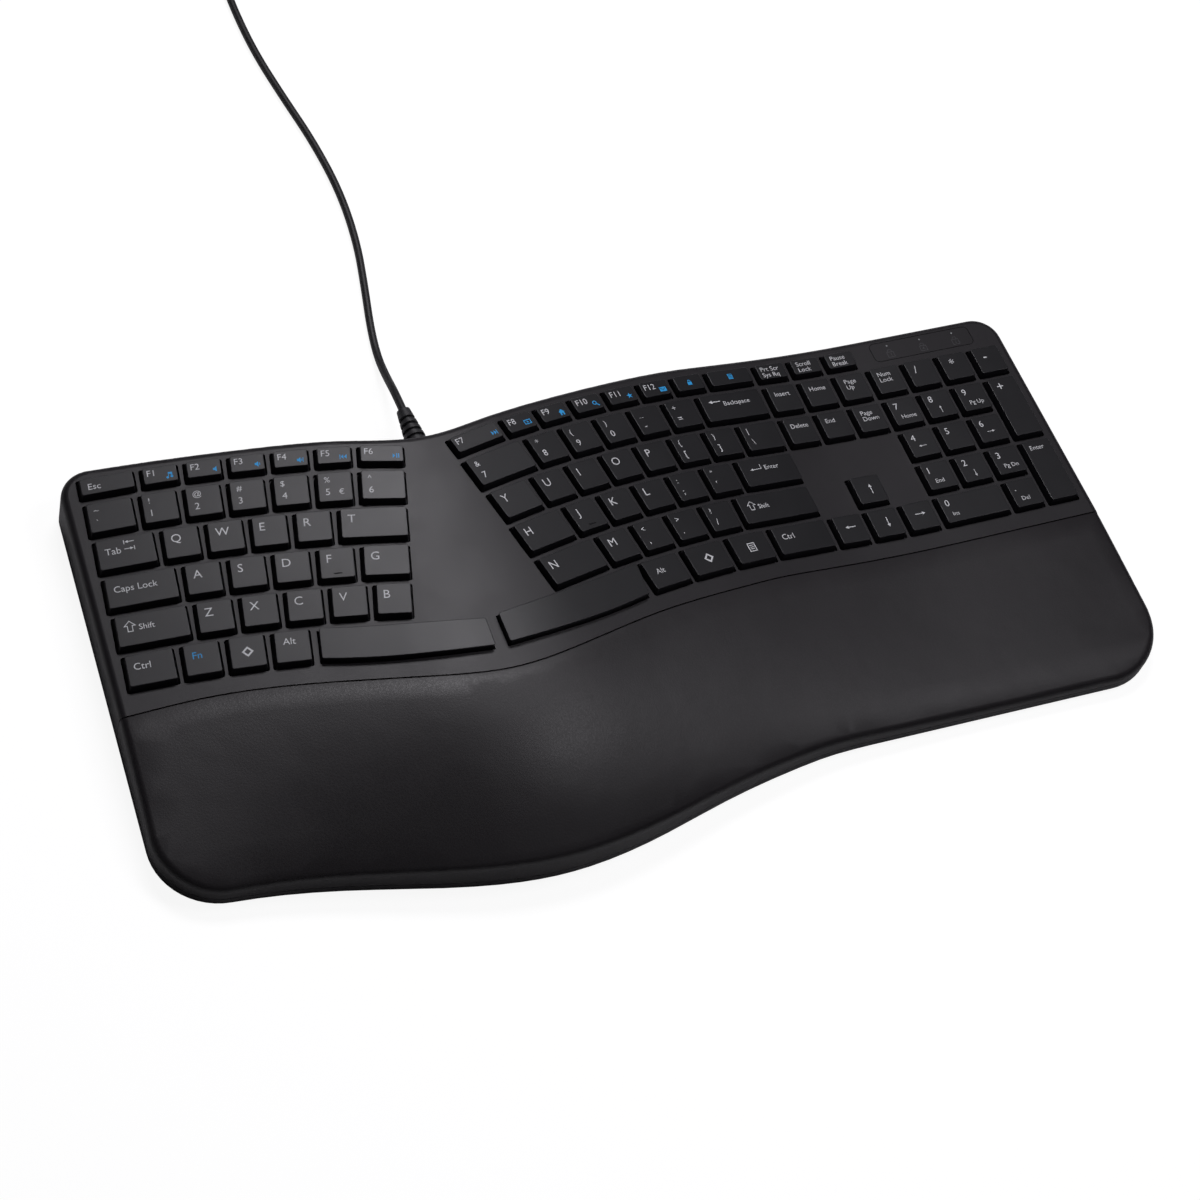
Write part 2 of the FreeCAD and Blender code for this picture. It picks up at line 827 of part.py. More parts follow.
def space_ring(bar, grow, z):
    """A space bar's outline, moved outwards by grow."""
    back = [V(x, y + grow, z) for x, y in bar["back"]]
    front = [V(x, y - grow, z) for x, y in bar["front"]]
    for row in (back, front):
        row[0] = row[0] - V(grow, 0, 0)
        row[2] = row[2] + V(grow, 0, 0)
    edges = [
        Part.Arc(back[0], back[1], back[2]).toShape(),
        Part.LineSegment(back[2], front[2]).toShape(),
        Part.Arc(front[2], front[1], front[0]).toShape(),
        Part.LineSegment(front[0], back[0]).toShape(),
    ]
    return Part.Wire(edges)


SPACE_LOW = 10.0
SPACE_HIGH = 50.0
BELOW_ALL = 20.0
SPACE_STEM_SHARES = (0.12, 0.5, 0.88)


def space_prism(bar, grow):
    face = Part.Face(space_ring(bar, grow, SPACE_LOW))
    return face.extrude(V(0, 0, SPACE_HIGH - SPACE_LOW))


def space_stems(bar):
    spots = []
    for share in SPACE_STEM_SHARES:
        rows = []
        for name in ("back", "front"):
            a, b, c = bar[name]
            x = a[0] + (c[0] - a[0]) * share
            pick = (a, b) if x < b[0] else (b, c)
            part = (x - pick[0][0]) / (pick[1][0] - pick[0][0])
            rows.append((x, pick[0][1] + (pick[1][1] - pick[0][1]) * part))
        spots.append(((rows[0][0] + rows[1][0]) / 2, (rows[0][1] + rows[1][1]) / 2))
    return spots


def space_solid(bar):
    grow = size("key_draft")
    outer = space_prism(bar, grow)
    outer = outer.makeFillet(size("key_corner_round"), vertical_edges(outer, lambda p: True))
    outer = outer.common(tent_slab(-size("key_rise"), size("key_skirt")))
    rim = []
    for edge in outer.Edges:
        middle = edge.valueAt((edge.FirstParameter + edge.LastParameter) / 2)
        on_top = middle.z > tent_height(middle.x) + size("key_rise") - 0.2
        faces = [f for f in outer.Faces if any(e.isSame(edge) for e in f.Edges)]
        level_faces = [f for f in faces if abs(f.normalAt(0, 0).z) > 0.5]
        if on_top and len(level_faces) == 1:
            rim.append(edge)
    outer = outer.makeFillet(size("key_edge_round"), rim)
    roof = size("key_rise") - size("key_top_thickness")
    hollow = space_prism(bar, grow - size("key_wall")).common(tent_slab(-roof, BELOW_ALL))
    shell = outer.cut(hollow)
    stems = [
        stem(x, y, size("stem_radius"), roof + size("key_top_thickness") / 2, -size("stem_depth"))
        for x, y in space_stems(bar)
    ]
    return flush(shell.multiFuse(stems))


keys = make_keys()
all_stems = []
for key in keys:
    all_stems.extend(stem_spots(key))
for bar in SPACE_BARS.values():
    all_stems.extend(space_stems(bar))
print("keys", len(keys) + len(SPACE_BARS), "stems", len(all_stems))

# The plan places of the screws, clear of every key
SCREW_SPOTS = [
    (-214.0, -2.6),
    (-160.0, 101.0),
    (-75.5, 78.0),
    (-75.5, -31.2),
    (60.0, -9.0),
    (100.0, 104.2),
    (130.0, 42.2),
    (215.0, -8.0),
    (235.0, 100.0),
]
floor = size("floor_height")
parting = size("parting_height")
floor_top = floor + size("floor_thickness")
CASE_HIGH = 60.0
seam_half = size("seam_gap") / 2
wall = size("case_wall")
boss = size("boss_radius")
THROUGH = 20.0
EDGE_SAMPLES = 8


def outer_top_block():
    block = inner_prism(BACK_WAVE, SEAM_WAVE, 0, seam_half, 0, size("back_corner_round"),
                        parting, CASE_HIGH)
    block = flush(block.common(under_tent(0)))
    edges = []
    for edge in block.Edges:
        a = edge.Vertexes[0].Point
        b = edge.Vertexes[-1].Point
        middle = edge.valueAt((edge.FirstParameter + edge.LastParameter) / 2)
        upright = math.hypot(a.x - b.x, a.y - b.y) < 0.01
        if upright or middle.z < parting + 3:
            continue
        on_side = abs(middle.x - side_x(middle.y)) < 1 or abs(middle.x - half) < 1
        reach_x = min(max(middle.x, LEFT_BACK[0] + 0.1), half)
        on_back = middle.y > 50 and abs(middle.y - wave_y(BACK_WAVE, reach_x)) < 14
        if on_side or on_back:
            edges.append(edge)
    return block.makeFillet(size("case_edge_round"), edges)


def key_opening(key):
    reach = size("opening_clearance")
    grow = (size("key_rise") + size("key_skirt")) * side_growth() + reach
    corners = []
    for across, away in ((-1, -1), (1, -1), (1, 1), (-1, 1)):
        x, y = key.spot(across * (key.width / 2 + grow), away * (key.depth / 2 + grow))
        corners.append(V(x, y, floor))
    prism = Part.Face(Part.makePolygon(corners + corners[:1])).extrude(V(0, 0, CASE_HIGH))
    return prism.makeFillet(size("key_corner_round"), vertical_edges(prism, lambda p: True))


def case_hollow(drop):
    block = inner_prism(BACK_WAVE, SEAM_WAVE, wall, seam_half + wall, wall,
                        size("back_corner_round") - wall, -1, CASE_HIGH)
    return block.common(under_tent(drop))


def relief_axis_cylinder(radius, y_low, y_high):
    spot = V(size("relief_x"), y_low, size("relief_height"))
    return Part.makeCylinder(radius, y_high - y_low, spot, V(0, 1, 0))


def top_case():
    outer = outer_top_block()
    shell = outer.cut(case_hollow(size("case_skin")))
    bosses = []
    bores = []
    for x, y in SCREW_SPOTS:
        low = parting + size("boss_seat_gap")
        high = tent_height(x) - size("case_skin") / 2
        bosses.append(Part.makeCylinder(boss, high - low, V(x, y, low)))
        radius = size("screw_radius") + size("screw_bore_clearance")
        bores.append(Part.makeCylinder(radius, size("screw_length"), V(x, y, parting - 1)))
    window_low = window_seat()
    for side in (-1.5, 1.5):
        x = size("window_x") + side * size("led_pitch")
        low = led_level() + size("led_board_thickness")
        bosses.append(Part.makeCylinder(size("led_post_radius"), window_low - low,
                                        V(x, size("window_y"), low)))
    shell = flush(shell.multiFuse([post.common(outer) for post in bosses]))
    for key in keys:
        bores.append(key_opening(key))
    reach = size("key_draft") + size("opening_clearance")
    for bar in SPACE_BARS.values():
        bores.append(space_prism(bar, reach))
    gap = size("window_side_gap")
    length = size("window_length") + 2 * gap
    depth = size("window_depth") + 2 * gap
    recess = Part.makeBox(length, depth, THROUGH, V(size("window_x") - length / 2,
                                               size("window_y") - depth / 2, window_low))
    recess = recess.makeFillet(size("window_corner_round") + gap,
                               vertical_edges(recess, lambda p: True))
    bores.append(recess)
    for step in (-1, 0, 1):
        spot = V(size("window_x") + step * size("led_pitch"), size("window_y"), floor_top)
        bores.append(Part.makeCylinder(size("led_radius") + size("led_bore_clearance"),
                                       CASE_HIGH, spot))
    neck = size("relief_neck_radius") + size("relief_fit")
    bores.append(relief_axis_cylinder(neck, wall_inside() - wall, wall_inside() + THROUGH))
    return flush(shell.cut(Part.makeCompound(bores)))


def back_edge_near_cable(reach):
    """Places of the housing's back edge within a reach of the cable."""
    shares = [i / EDGE_SAMPLES for i in range(-EDGE_SAMPLES, EDGE_SAMPLES + 1)]
    return [wave_y(BACK_WAVE, size("relief_x") + reach * share) for share in shares]


def wall_inside():
    """The back wall's inner face where it reaches furthest in behind the cable's flange."""
    return min(back_edge_near_cable(size("relief_flange_radius"))) - wall


def wall_outside():
    """The back wall's outer face where it reaches furthest out beside the cable's sleeve."""
    return max(back_edge_near_cable(size("relief_root_radius")))


def window_seat():
    """The height of the ledge under the lamp window."""
    return tent_height(size("window_x")) - size("window_thickness") - size("window_seat_gap")


def led_level():
    """Underside of the lamps' board."""
    return window_seat() - size("led_height") - size("led_board_thickness")


LAMP_STRIP_FRONT = 70.0
FEET = [
    (-205.0, 100.0),
    (150.0, 95.0),
    (-75.5, 62.0),
    (-222.0, -72.0),
    (-75.5, -100.0),
    (60.0, -80.0),
    (212.0, -76.0),
]
LEG_SPOTS = {
    "tilt_leg_left": (size("left_leg_x"), size("left_leg_y")),
    "tilt_leg_right": (size("right_leg_x"), size("right_leg_y")),
}
leg_axis_z = floor + size("leg_thickness") / 2 + size("leg_recess")
CASE_RIBS = (-200.0, -140.0, -100.0, -20.0, 30.0, 80.0, 140.0, 205.0)


def leg_pocket(x, y, grow, z_low, z_high):
    """The space of a folded leg, whose hinge is at its back end."""
    gap = size("leg_clearance") + grow
    width = size("leg_width") + 2 * gap
    front = y - size("leg_length") - gap
    back = y + size("leg_thickness") / 2 + gap
    return Part.makeBox(width, back - front, z_high - z_low, V(x - width / 2, front, z_low))


def front_rounded(block, inset):
    """A block with its two front corners rounded, for an outline that is inset this much."""
    block = rounded_corners(block, size("left_front_round") - inset,
                            lambda p: p.y < -50 and p.x < 0)
    return rounded_corners(block, size("right_front_round") - inset,
                           lambda p: p.y < -50 and p.x > 0)


def key_room(inset, z_low, z_high):
    """The space behind the seam, this far inside the housing's outer face."""
    return inner_prism(BACK_WAVE, SEAM_WAVE, inset, seam_half + inset, inset,
                       size("back_corner_round") - inset, z_low, z_high)


def case_ribs():
    """Ribs that carry the backing plate."""
    under = size("frame_bottom_drop") + size("mat_thickness") + size("membrane_thickness")
    under += size("backing_thickness") + 4 * size("layer_gap")
    room = key_room(wall + size("case_rib_inset"), floor, CASE_HIGH)
    room = room.common(under_tent(under))
    thickness = size("case_rib_thickness")
    low = floor_top - size("floor_thickness") / 4
    ribs = []
    for x in CASE_RIBS:
        back = LAMP_STRIP_FRONT if x > size("window_x") - size("window_length") else FAR
        rib = Part.makeBox(thickness, back + FAR, CASE_HIGH, V(x - thickness / 2, -FAR, low))
        ribs.append(rib.common(room))
    return ribs


def bottom_case():
    tray = inner_prism(BACK_WAVE, FRONT_WAVE, 0, 0, 0, size("back_corner_round"), floor, parting)
    tray = front_rounded(tray, 0.0)
    high = parting + 1
    back_room = key_room(wall, floor_top, high)
    front_room = outline_prism(SEAM_WAVE, FRONT_WAVE, wall, wall, wall, floor_top, high)
    shell = tray.cut(back_room).cut(front_rounded(front_room, wall))
    added = case_ribs()
    holes = []
    for x, y in SCREW_SPOTS:
        added.append(Part.makeCylinder(boss, parting - floor, V(x, y, floor)))
        clear = size("screw_clearance")
        holes.append(Part.makeCylinder(size("screw_radius") + clear, THROUGH, V(x, y, floor - 1)))
        depth = size("screw_head_height") + clear
        head = size("screw_head_radius") + clear
        holes.append(Part.makeCylinder(head, depth + 1, V(x, y, floor - 1)))
    post_inset = size("board_post_inset")
    for dx in (-1, 1):
        for dy in (-1, 1):
            x = size("relief_x") + dx * (size("board_length") / 2 - post_inset)
            y = board_middle_y() + dy * (size("board_depth") / 2 - post_inset)
            added.append(Part.makeCylinder(size("board_post_radius"), board_level() - floor,
                                           V(x, y, floor)))
    roof = leg_axis_z + size("leg_thickness") / 2 + size("leg_clearance")
    cover_top = roof + size("leg_pocket_roof")
    under_top_case = key_room(wall + size("leg_clearance"), floor, cover_top + 1)
    pockets = []
    for x, y in LEG_SPOTS.values():
        added.append(leg_pocket(x, y, size("leg_pocket_wall"), floor, parting))
        cover = leg_pocket(x, y, size("leg_pocket_wall"), floor, cover_top)
        added.append(cover.common(under_top_case))
        pockets.append(leg_pocket(x, y, 0.0, floor - 1, roof))
        reach = size("leg_width") / 2 + size("leg_pin_length") + size("leg_pin_end_clearance")
        pin = size("leg_pin_radius") + size("leg_pin_clearance")
        pockets.append(Part.makeCylinder(pin, 2 * reach, V(x - reach, y, leg_axis_z), V(1, 0, 0)))
    shell = flush(shell.multiFuse(added))
    for x, y in FEET:
        holes.append(Part.makeCylinder(size("foot_radius") + size("foot_recess_clearance"),
                                       1 + size("foot_recess"), V(x, y, floor - 1)))
    return flush(shell.cut(Part.makeCompound(holes)).cut(Part.makeCompound(pockets)))


def board_level():
    """Underside of the controller board."""
    return size("relief_height") - size("board_below_cord") - size("board_thickness")


def board_middle_y():
    inner = wall_inside() - size("relief_flange_thickness") - size("inner_lead_length")
    return inner - size("board_depth") / 2 + size("board_post_inset")


# Layers under the keys
field_inset = size("field_inset")
STACK_CUT = {"x_low": 168.0, "x_high": 229.0, "y_low": 85.9, "depth": 60.0}


def field_block(inset):
    block = inner_prism(BACK_WAVE, SEAM_WAVE, inset, seam_half + inset, inset,
                        size("back_corner_round") - inset, 0, CASE_HIGH)
    cuts = []
    clear = inset - field_inset + size("field_boss_clearance")
    for x, y in SCREW_SPOTS:
        cuts.append(Part.makeCylinder(boss + clear, CASE_HIGH + 1, V(x, y, -0.5)))
    grow = inset - field_inset
    x_low = STACK_CUT["x_low"] - grow
    length = STACK_CUT["x_high"] + grow - x_low
    cuts.append(Part.makeBox(length, STACK_CUT["depth"], CASE_HIGH + 1,
                             V(x_low, STACK_CUT["y_low"] - grow, -0.5)))
    return block.cut(Part.makeCompound(cuts))


mat_top = size("frame_bottom_drop") + size("layer_gap")
mat_bottom = mat_top + size("mat_thickness")
membrane_top = mat_bottom + size("layer_gap")
membrane_bottom = membrane_top + size("membrane_thickness")
backing_top = membrane_bottom + size("layer_gap")
backing_bottom = backing_top + size("backing_thickness")
field = field_block(field_inset)


def guide_frame():
    plate_bottom = size("frame_top_drop") + size("frame_plate")
    plate = field.common(tent_slab(size("frame_top_drop"), plate_bottom))
    ring = field.cut(field_block(field_inset + size("frame_rim")))
    rim = ring.common(tent_slab(plate_bottom - 0.3, size("frame_bottom_drop")))
    room = size("dome_radius") + size("dome_clearance")
    rim = rim.cut(Part.makeCompound([stem(x, y, room, 0.0, -BELOW_ALL) for x, y in all_stems]))
    bore = size("stem_radius") + size("stem_clearance")
    sleeves = []
    bores = []
    for x, y in all_stems:
        sleeves.append(stem(x, y, bore + size("sleeve_wall"), -size("sleeve_top_drop"),
                            -size("frame_top_drop") - 0.5))
        bores.append(stem(x, y, bore, 0.0, -BELOW_ALL))
    solid = plate.fuse(rim).multiFuse(sleeves)
    return flush(solid.cut(Part.makeCompound(bores)))


def dome_mat():
    """A sheet with a hollow dome under each stem, all of it above the membrane."""
    sheet_solid = field.common(tent_slab(mat_top, mat_bottom))
    domes = []
    hollows = []
    skin = size("dome_wall")
    height = mat_bottom - size("stem_depth") - size("layer_gap")
    for x, y in all_stems:
        spot = V(x, y, tent_height(x) - mat_bottom)
        domes.append(Part.makeCone(size("dome_radius"), size("dome_top_radius"), height, spot))
        hollows.append(Part.makeCone(size("dome_radius") - skin, size("dome_top_radius") - skin,
                                     height + 1 - skin, spot - V(0, 0, 1)))
    solid = sheet_solid.multiFuse(domes).common(tent_slab(0.0, mat_bottom))
    return flush(solid.cut(Part.makeCompound(hollows)))


def membrane():
    return flush(field.common(tent_slab(membrane_top, membrane_bottom)))


def backing():
    return flush(field.common(tent_slab(backing_top, backing_bottom)))


# Wrist rest: a cushion with a crown and a rolled front edge, over a hollow carrier
def tangent_arc(start, heading, end):
    """The arc from start, leaving along heading, to end, and its heading there."""
    chord = end - start
    along = V(chord).normalize()
    side = heading - along * heading.dot(along)
    if side.Length < 1e-6:
        return Part.LineSegment(start, end), heading
    half_turn = heading.getAngle(along)
    middle = (start + end) * 0.5 + V(side).normalize() * (chord.Length / 2 * math.tan(half_turn / 2))
    leave = along * (2 * heading.dot(along)) - heading
    return Part.Arc(start, middle, end), leave


REST_SECTIONS = 30
REST_BEHIND_SEAM = 25.0
REST_BEFORE_FRONT = 10.0
REST_REACH = half + 24.0
CARRIER_RIBS = range(-200, 201, 50)


def rest_section(x, drop):
    """The closed outline of everything under the rest's top surface at x."""
    wave_x = min(max(x, SEAM_WAVE[0][0] + 0.5), half)
    seam = wave_y(SEAM_WAVE, wave_x)
    front_x = min(max(x, FRONT_WAVE[0][0] + 0.5), half)
    front = wave_y(FRONT_WAVE, front_x)
    top = tent_height(x) - drop
    lift = (tent_height(x) - flat) * size("cushion_crest_share")
    edge = size("cushion_front_height") + lift - drop
    roll_start = front + size("cushion_roll")
    shoulder = edge + (top - edge) * size("cushion_shoulder_share")
    shoulder += size("cushion_shoulder_rise")
    tuck = size("cushion_tuck") + size("cushion_tuck_share") * lift
    heading = V(0, -1, -0.03).normalize()
    lead = V(x, seam + REST_BEHIND_SEAM, top + 0.5)
    at_seam = V(x, seam, top)
    shoulder_spot = V(x, roll_start, shoulder)
    crown, leave = tangent_arc(at_seam, heading, shoulder_spot)
    beyond = V(x, front - REST_BEFORE_FRONT, edge - tuck)
    roll, _ = tangent_arc(shoulder_spot, leave, beyond)
    low_front = V(x, front - REST_BEFORE_FRONT, -DEEP)
    low_back = V(x, seam + REST_BEHIND_SEAM, -DEEP)
    return Part.Wire([
        Part.LineSegment(lead, at_seam).toShape(),
        crown.toShape(),
        roll.toShape(),
        Part.LineSegment(beyond, low_front).toShape(),
        Part.LineSegment(low_front, low_back).toShape(),
        Part.LineSegment(low_back, lead).toShape(),
    ])


def under_rest(drop):
    step = 2 * REST_REACH / REST_SECTIONS
    sections = [rest_section(-REST_REACH + step * i, drop) for i in range(REST_SECTIONS + 1)]
    return Part.makeLoft(sections, True, False)


def rest_block(back_inset, inset, z_low):
    block = outline_prism(SEAM_WAVE, FRONT_WAVE, back_inset, inset, inset, z_low, CASE_HIGH)
    return front_rounded(block, inset)


def carrier_outer(grow):
    inset = size("carrier_inset") - grow
    back = seam_half + wall + size("carrier_back_gap") - grow
    block = rest_block(back, inset, floor_top + size("layer_gap") - grow)
    return block.common(under_rest(size("cushion_thickness") - grow))


def carrier():
    outer = carrier_outer(0.0)
    skin = size("carrier_skin")
    back = seam_half + wall + size("carrier_back_gap") + skin
    block = rest_block(back, size("carrier_inset") + skin, floor_top - 5)
    hollow = block.common(under_rest(size("cushion_thickness") + skin))
    ribs = []
    for x in CARRIER_RIBS:
        rib = Part.makeBox(size("carrier_rib_thickness"), 2 * FAR, CASE_HIGH,
                           V(x, -FAR, floor_top + size("layer_gap")))
        ribs.append(rib.common(outer))
    return flush(outer.cut(hollow).multiFuse(ribs))


def middle_normal(face):
    u_low, u_high, v_low, v_high = face.ParameterRange
    return face.normalAt((u_low + u_high) / 2, (v_low + v_high) / 2)


def cushion():
    block = rest_block(seam_half, 0.0, parting + size("cushion_clearance"))
    block = flush(block.common(under_rest(0.0)))
    rim = []
    for edge in block.Edges:
        middle = edge.valueAt((edge.FirstParameter + edge.LastParameter) / 2)
        steepness = sorted(abs(middle_normal(face).z) for face in block.Faces
                           if any(e.isSame(edge) for e in face.Edges))
        if len(steepness) != 2 or steepness[0] > 0.05 or steepness[1] < 0.3:
            continue
        seam_x = min(max(middle.x, SEAM_WAVE[0][0] + 0.1), half)
        on_seam = abs(middle.y - wave_y(SEAM_WAVE, seam_x) + seam_half) < 0.5
        if middle.z > parting + 1 and not on_seam:
            rim.append(edge)
    block = block.makeFillet(size("cushion_edge_round"), rim)
    return flush(block.cut(carrier_outer(size("cushion_clearance"))))


def screws():
    pieces = []
    for x, y in SCREW_SPOTS:
        shank = Part.makeCylinder(size("screw_radius"), size("screw_length"), V(x, y, floor))
        head = Part.makeCylinder(size("screw_head_radius"), size("screw_head_height"),
                                 V(x, y, floor))
        long = size("screw_slot_length")
        narrow = size("screw_slot_width")
        deep = size("screw_slot_depth")
        along = Part.makeBox(long, narrow, deep, V(x - long / 2, y - narrow / 2, floor))
        across = Part.makeBox(narrow, long, deep, V(x - narrow / 2, y - long / 2, floor))
        pieces.append(flush(head.fuse(shank).cut(along.fuse(across))))
    return Part.makeCompound(pieces)


def feet():
    pieces = []
    for x, y in FEET:
        foot = Part.makeCylinder(size("foot_radius"), size("foot_thickness"), V(x, y, 0))
        low = [e for e in foot.Edges if e.BoundBox.ZMax < 0.1]
        pieces.append(foot.makeFillet(size("foot_edge_round"), low))
    return Part.makeCompound(pieces)


# Tilt legs: a plate with a round back edge that turns on two pins
def tilt_leg(label, x, y):
    body = doc.addObject("PartDesign::Body", label + "_body")
    half_width = "Sizes.leg_width / 2"
    corners = [
        ("-" + half_width, "-Sizes.leg_length"),
        (half_width, "-Sizes.leg_length"),
        (half_width, "0"),
        ("-" + half_width, "0"),
    ]
    plate = polygon_sketch(body, label + "_plate_outline", "XY_Plane", corners)
    pad(body, label + "_plate", plate, "Sizes.leg_thickness")
    barrel = circle_sketch(body, label + "_barrel_circle", "YZ_Plane", "Sizes.leg_thickness / 2")
    pad(body, label + "_barrel", barrel, "Sizes.leg_width")
    pin = circle_sketch(body, label + "_pin_circle", "YZ_Plane", "Sizes.leg_pin_radius")
    pins = pad(body, label + "_pins", pin, "Sizes.leg_width + 2 * Sizes.leg_pin_length")
    body.Tip = pins
    place(body, str(x), str(y),
          "Sizes.floor_height + Sizes.leg_thickness / 2 + Sizes.leg_recess")
    return named(body, label)


def indicator_window():
    """A smoked strip over the three lock lamps."""
    body = doc.addObject("PartDesign::Body", "indicator_window_body")
    x = "Sizes.window_length / 2"
    y = "Sizes.window_depth / 2"
    corners = [("-" + x, "-" + y), (x, "-" + y), (x, y), ("-" + x, y)]
    outline = polygon_sketch(body, "window_outline", "XY_Plane", corners)
    plate = pad(body, "window_plate", outline, "Sizes.window_thickness", False)
    doc.recompute()
    rounding = body.newObject("PartDesign::Fillet", "window_corners")
    upright = []
    for index, edge in enumerate(plate.Shape.Edges, start=1):
        a = edge.Vertexes[0].Point
        b = edge.Vertexes[-1].Point
        if abs(a.z - b.z) > 0.1:
            upright.append("Edge%d" % index)
    rounding.Base = (plate, upright)
    rounding.setExpression("Radius", "Sizes.window_corner_round")
    body.Tip = rounding
    place(body, "Sizes.window_x", "Sizes.window_y",
          "Sizes.flat_height - Sizes.window_thickness")
    return named(body, "indicator_window")


def indicator_lamps():
    length = "Sizes.led_strip_share * Sizes.led_pitch"
    strip = box("lamp_strip", length, "Sizes.led_board_depth", "Sizes.led_board_thickness",
                "Sizes.window_x - %s / 2" % length,
                "Sizes.window_y - Sizes.led_board_depth / 2", str(led_level()))
    items = [strip]
    for step in (-1, 0, 1):
        lamp = cylinder("lamp_%d" % (step + 2), "Sizes.led_radius", "Sizes.led_height",
                        "Sizes.window_x + %d * Sizes.led_pitch" % step, "Sizes.window_y",
                        "%f + Sizes.led_board_thickness - Sizes.layer_gap" % led_level())
        items.append(lamp)
    return named(fused("lamps", items), "indicator_lamps")


def controller_board():
    middle_x = "Sizes.relief_x"
    low = board_level() + size("layer_gap")
    board = box("board_plate", "Sizes.board_length", "Sizes.board_depth", "Sizes.board_thickness",
                middle_x + " - Sizes.board_length / 2",
                "%f - Sizes.board_depth / 2" % board_middle_y(), str(low))
    top = low + size("board_thickness") - size("layer_gap")
    middle_y = board_middle_y()
    chip = box("board_chip", "Sizes.chip_side", "Sizes.chip_side", "Sizes.chip_height",
               middle_x + " + Sizes.chip_across", "%f + Sizes.chip_along" % middle_y, str(top))
    crystal = box("board_crystal", "Sizes.crystal_length", "Sizes.crystal_depth",
                  "Sizes.crystal_height", middle_x + " + Sizes.crystal_across",
                  "%f + Sizes.crystal_along" % middle_y, str(top))
    lead_end = wall_inside() - size("relief_flange_thickness") - size("inner_lead_length")
    socket = box("board_socket", "Sizes.socket_length", "Sizes.socket_depth",
                 "Sizes.socket_height", middle_x + " - Sizes.socket_length / 2",
                 "%f - Sizes.socket_depth - Sizes.layer_gap" % lead_end, str(top))
    tail_socket = box("board_tail_socket", "Sizes.tail_socket_length", "Sizes.tail_socket_depth",
                      "Sizes.tail_socket_height", middle_x + " + Sizes.tail_socket_across",
                      "%f + Sizes.tail_socket_along" % middle_y, str(top))
    items = [board, chip, crystal, socket, tail_socket]
    return named(fused("board", items), "controller_board")


def strain_relief():
    """A moulded sleeve that grips the cord, with rings cut into its outer half."""
    body = doc.addObject("PartDesign::Body", "strain_relief_body")
    flange_end = "%f - Sizes.layer_gap" % wall_inside()
    flange_start = flange_end + " - Sizes.relief_flange_thickness"
    lead_start = flange_start + " - Sizes.inner_lead_length"
    sleeve_start = "%f + Sizes.relief_wall_gap" % wall_outside()
    tip = "%f + Sizes.relief_length" % wall_outside()
    taper = "(Sizes.relief_root_radius - Sizes.relief_tip_radius) / Sizes.relief_length"

    def skin(y):
        return "Sizes.relief_root_radius - (%s - (%s)) * (%s)" % (y, sleeve_start, taper)

    corners = [
        ("0", lead_start),
        ("Sizes.cord_radius", lead_start),
        ("Sizes.cord_radius", flange_start),
        ("Sizes.relief_flange_radius", flange_start),
        ("Sizes.relief_flange_radius", flange_end),
        ("Sizes.relief_neck_radius", flange_end),
        ("Sizes.relief_neck_radius", sleeve_start),
        ("Sizes.relief_root_radius", sleeve_start),
    ]
    grooves = int(round(size("relief_grooves")))
    for ring in range(grooves):
        low = "(%s - Sizes.relief_tip_land - %d * Sizes.relief_groove_pitch)" % (tip, grooves - ring)
        high = "(%s + Sizes.relief_groove_width)" % low
        corners.append((skin(low), low))
        corners.append((skin(low) + " - Sizes.relief_groove_depth", low))
        corners.append((skin(high) + " - Sizes.relief_groove_depth", high))
        corners.append((skin(high), high))
    corners.append(("Sizes.relief_tip_radius", tip))
    corners.append(("0", tip))
    outline = polygon_sketch(body, "relief_outline", "XY_Plane", corners)
    turned = body.newObject("PartDesign::Revolution", "relief_turned")
    turned.Profile = outline
    turned.ReferenceAxis = (outline, ["V_Axis"])
    turned.Angle = 360
    body.Tip = turned
    place(body, "Sizes.relief_x", "0", "Sizes.relief_height")
    return named(body, "cable_strain_relief")


# Cord: from the strain relief along the table to a tied coil and a plug
cord_radius = size("cord_radius")
cord_diameter = 2 * cord_radius
coil_x = size("coil_x")
coil_y = size("coil_y")
coil_pitch = size("coil_pitch")
turns = int(round(size("coil_turns_per_layer")))
outer_turn = size("coil_mean_radius") + turns * coil_pitch / 2
inner_turn = size("coil_mean_radius") - turns * coil_pitch / 2
low_layer = size("coil_lift") + cord_radius
high_layer = low_layer + coil_pitch
relief_tip_y = wall_outside() + size("relief_length")
exit_height = size("relief_height")
table = cord_radius + size("cord_floor_gap")
COIL_START = V(coil_x - outer_turn, coil_y - cord_diameter, low_layer)
CORD_ROUTE = [
    V(size("relief_x"), relief_tip_y, exit_height),
    V(size("relief_x") + 0.4, relief_tip_y + 12.0, exit_height - 1.6),
    V(-64.0, 143.0, 7.0),
    V(-62.2, 158.5, table),
    V(-59.6, 176.0, table),
    V(-54.6, 198.0, table),
    V(-48.9, 226.0, table),
    V(-46.6, 258.0, table),
    V(-49.2, 291.0, table),
    V(-54.6, 322.0, table),
    V(-59.0, 352.0, table),
    V(-60.3, 381.0, table + 0.15),
    V(coil_x - outer_turn, 406.0, low_layer),
    COIL_START,
]


RUN_SHARE = 0.45
COIL_MARK = 0.25
SAMPLE_STEP = 1.5


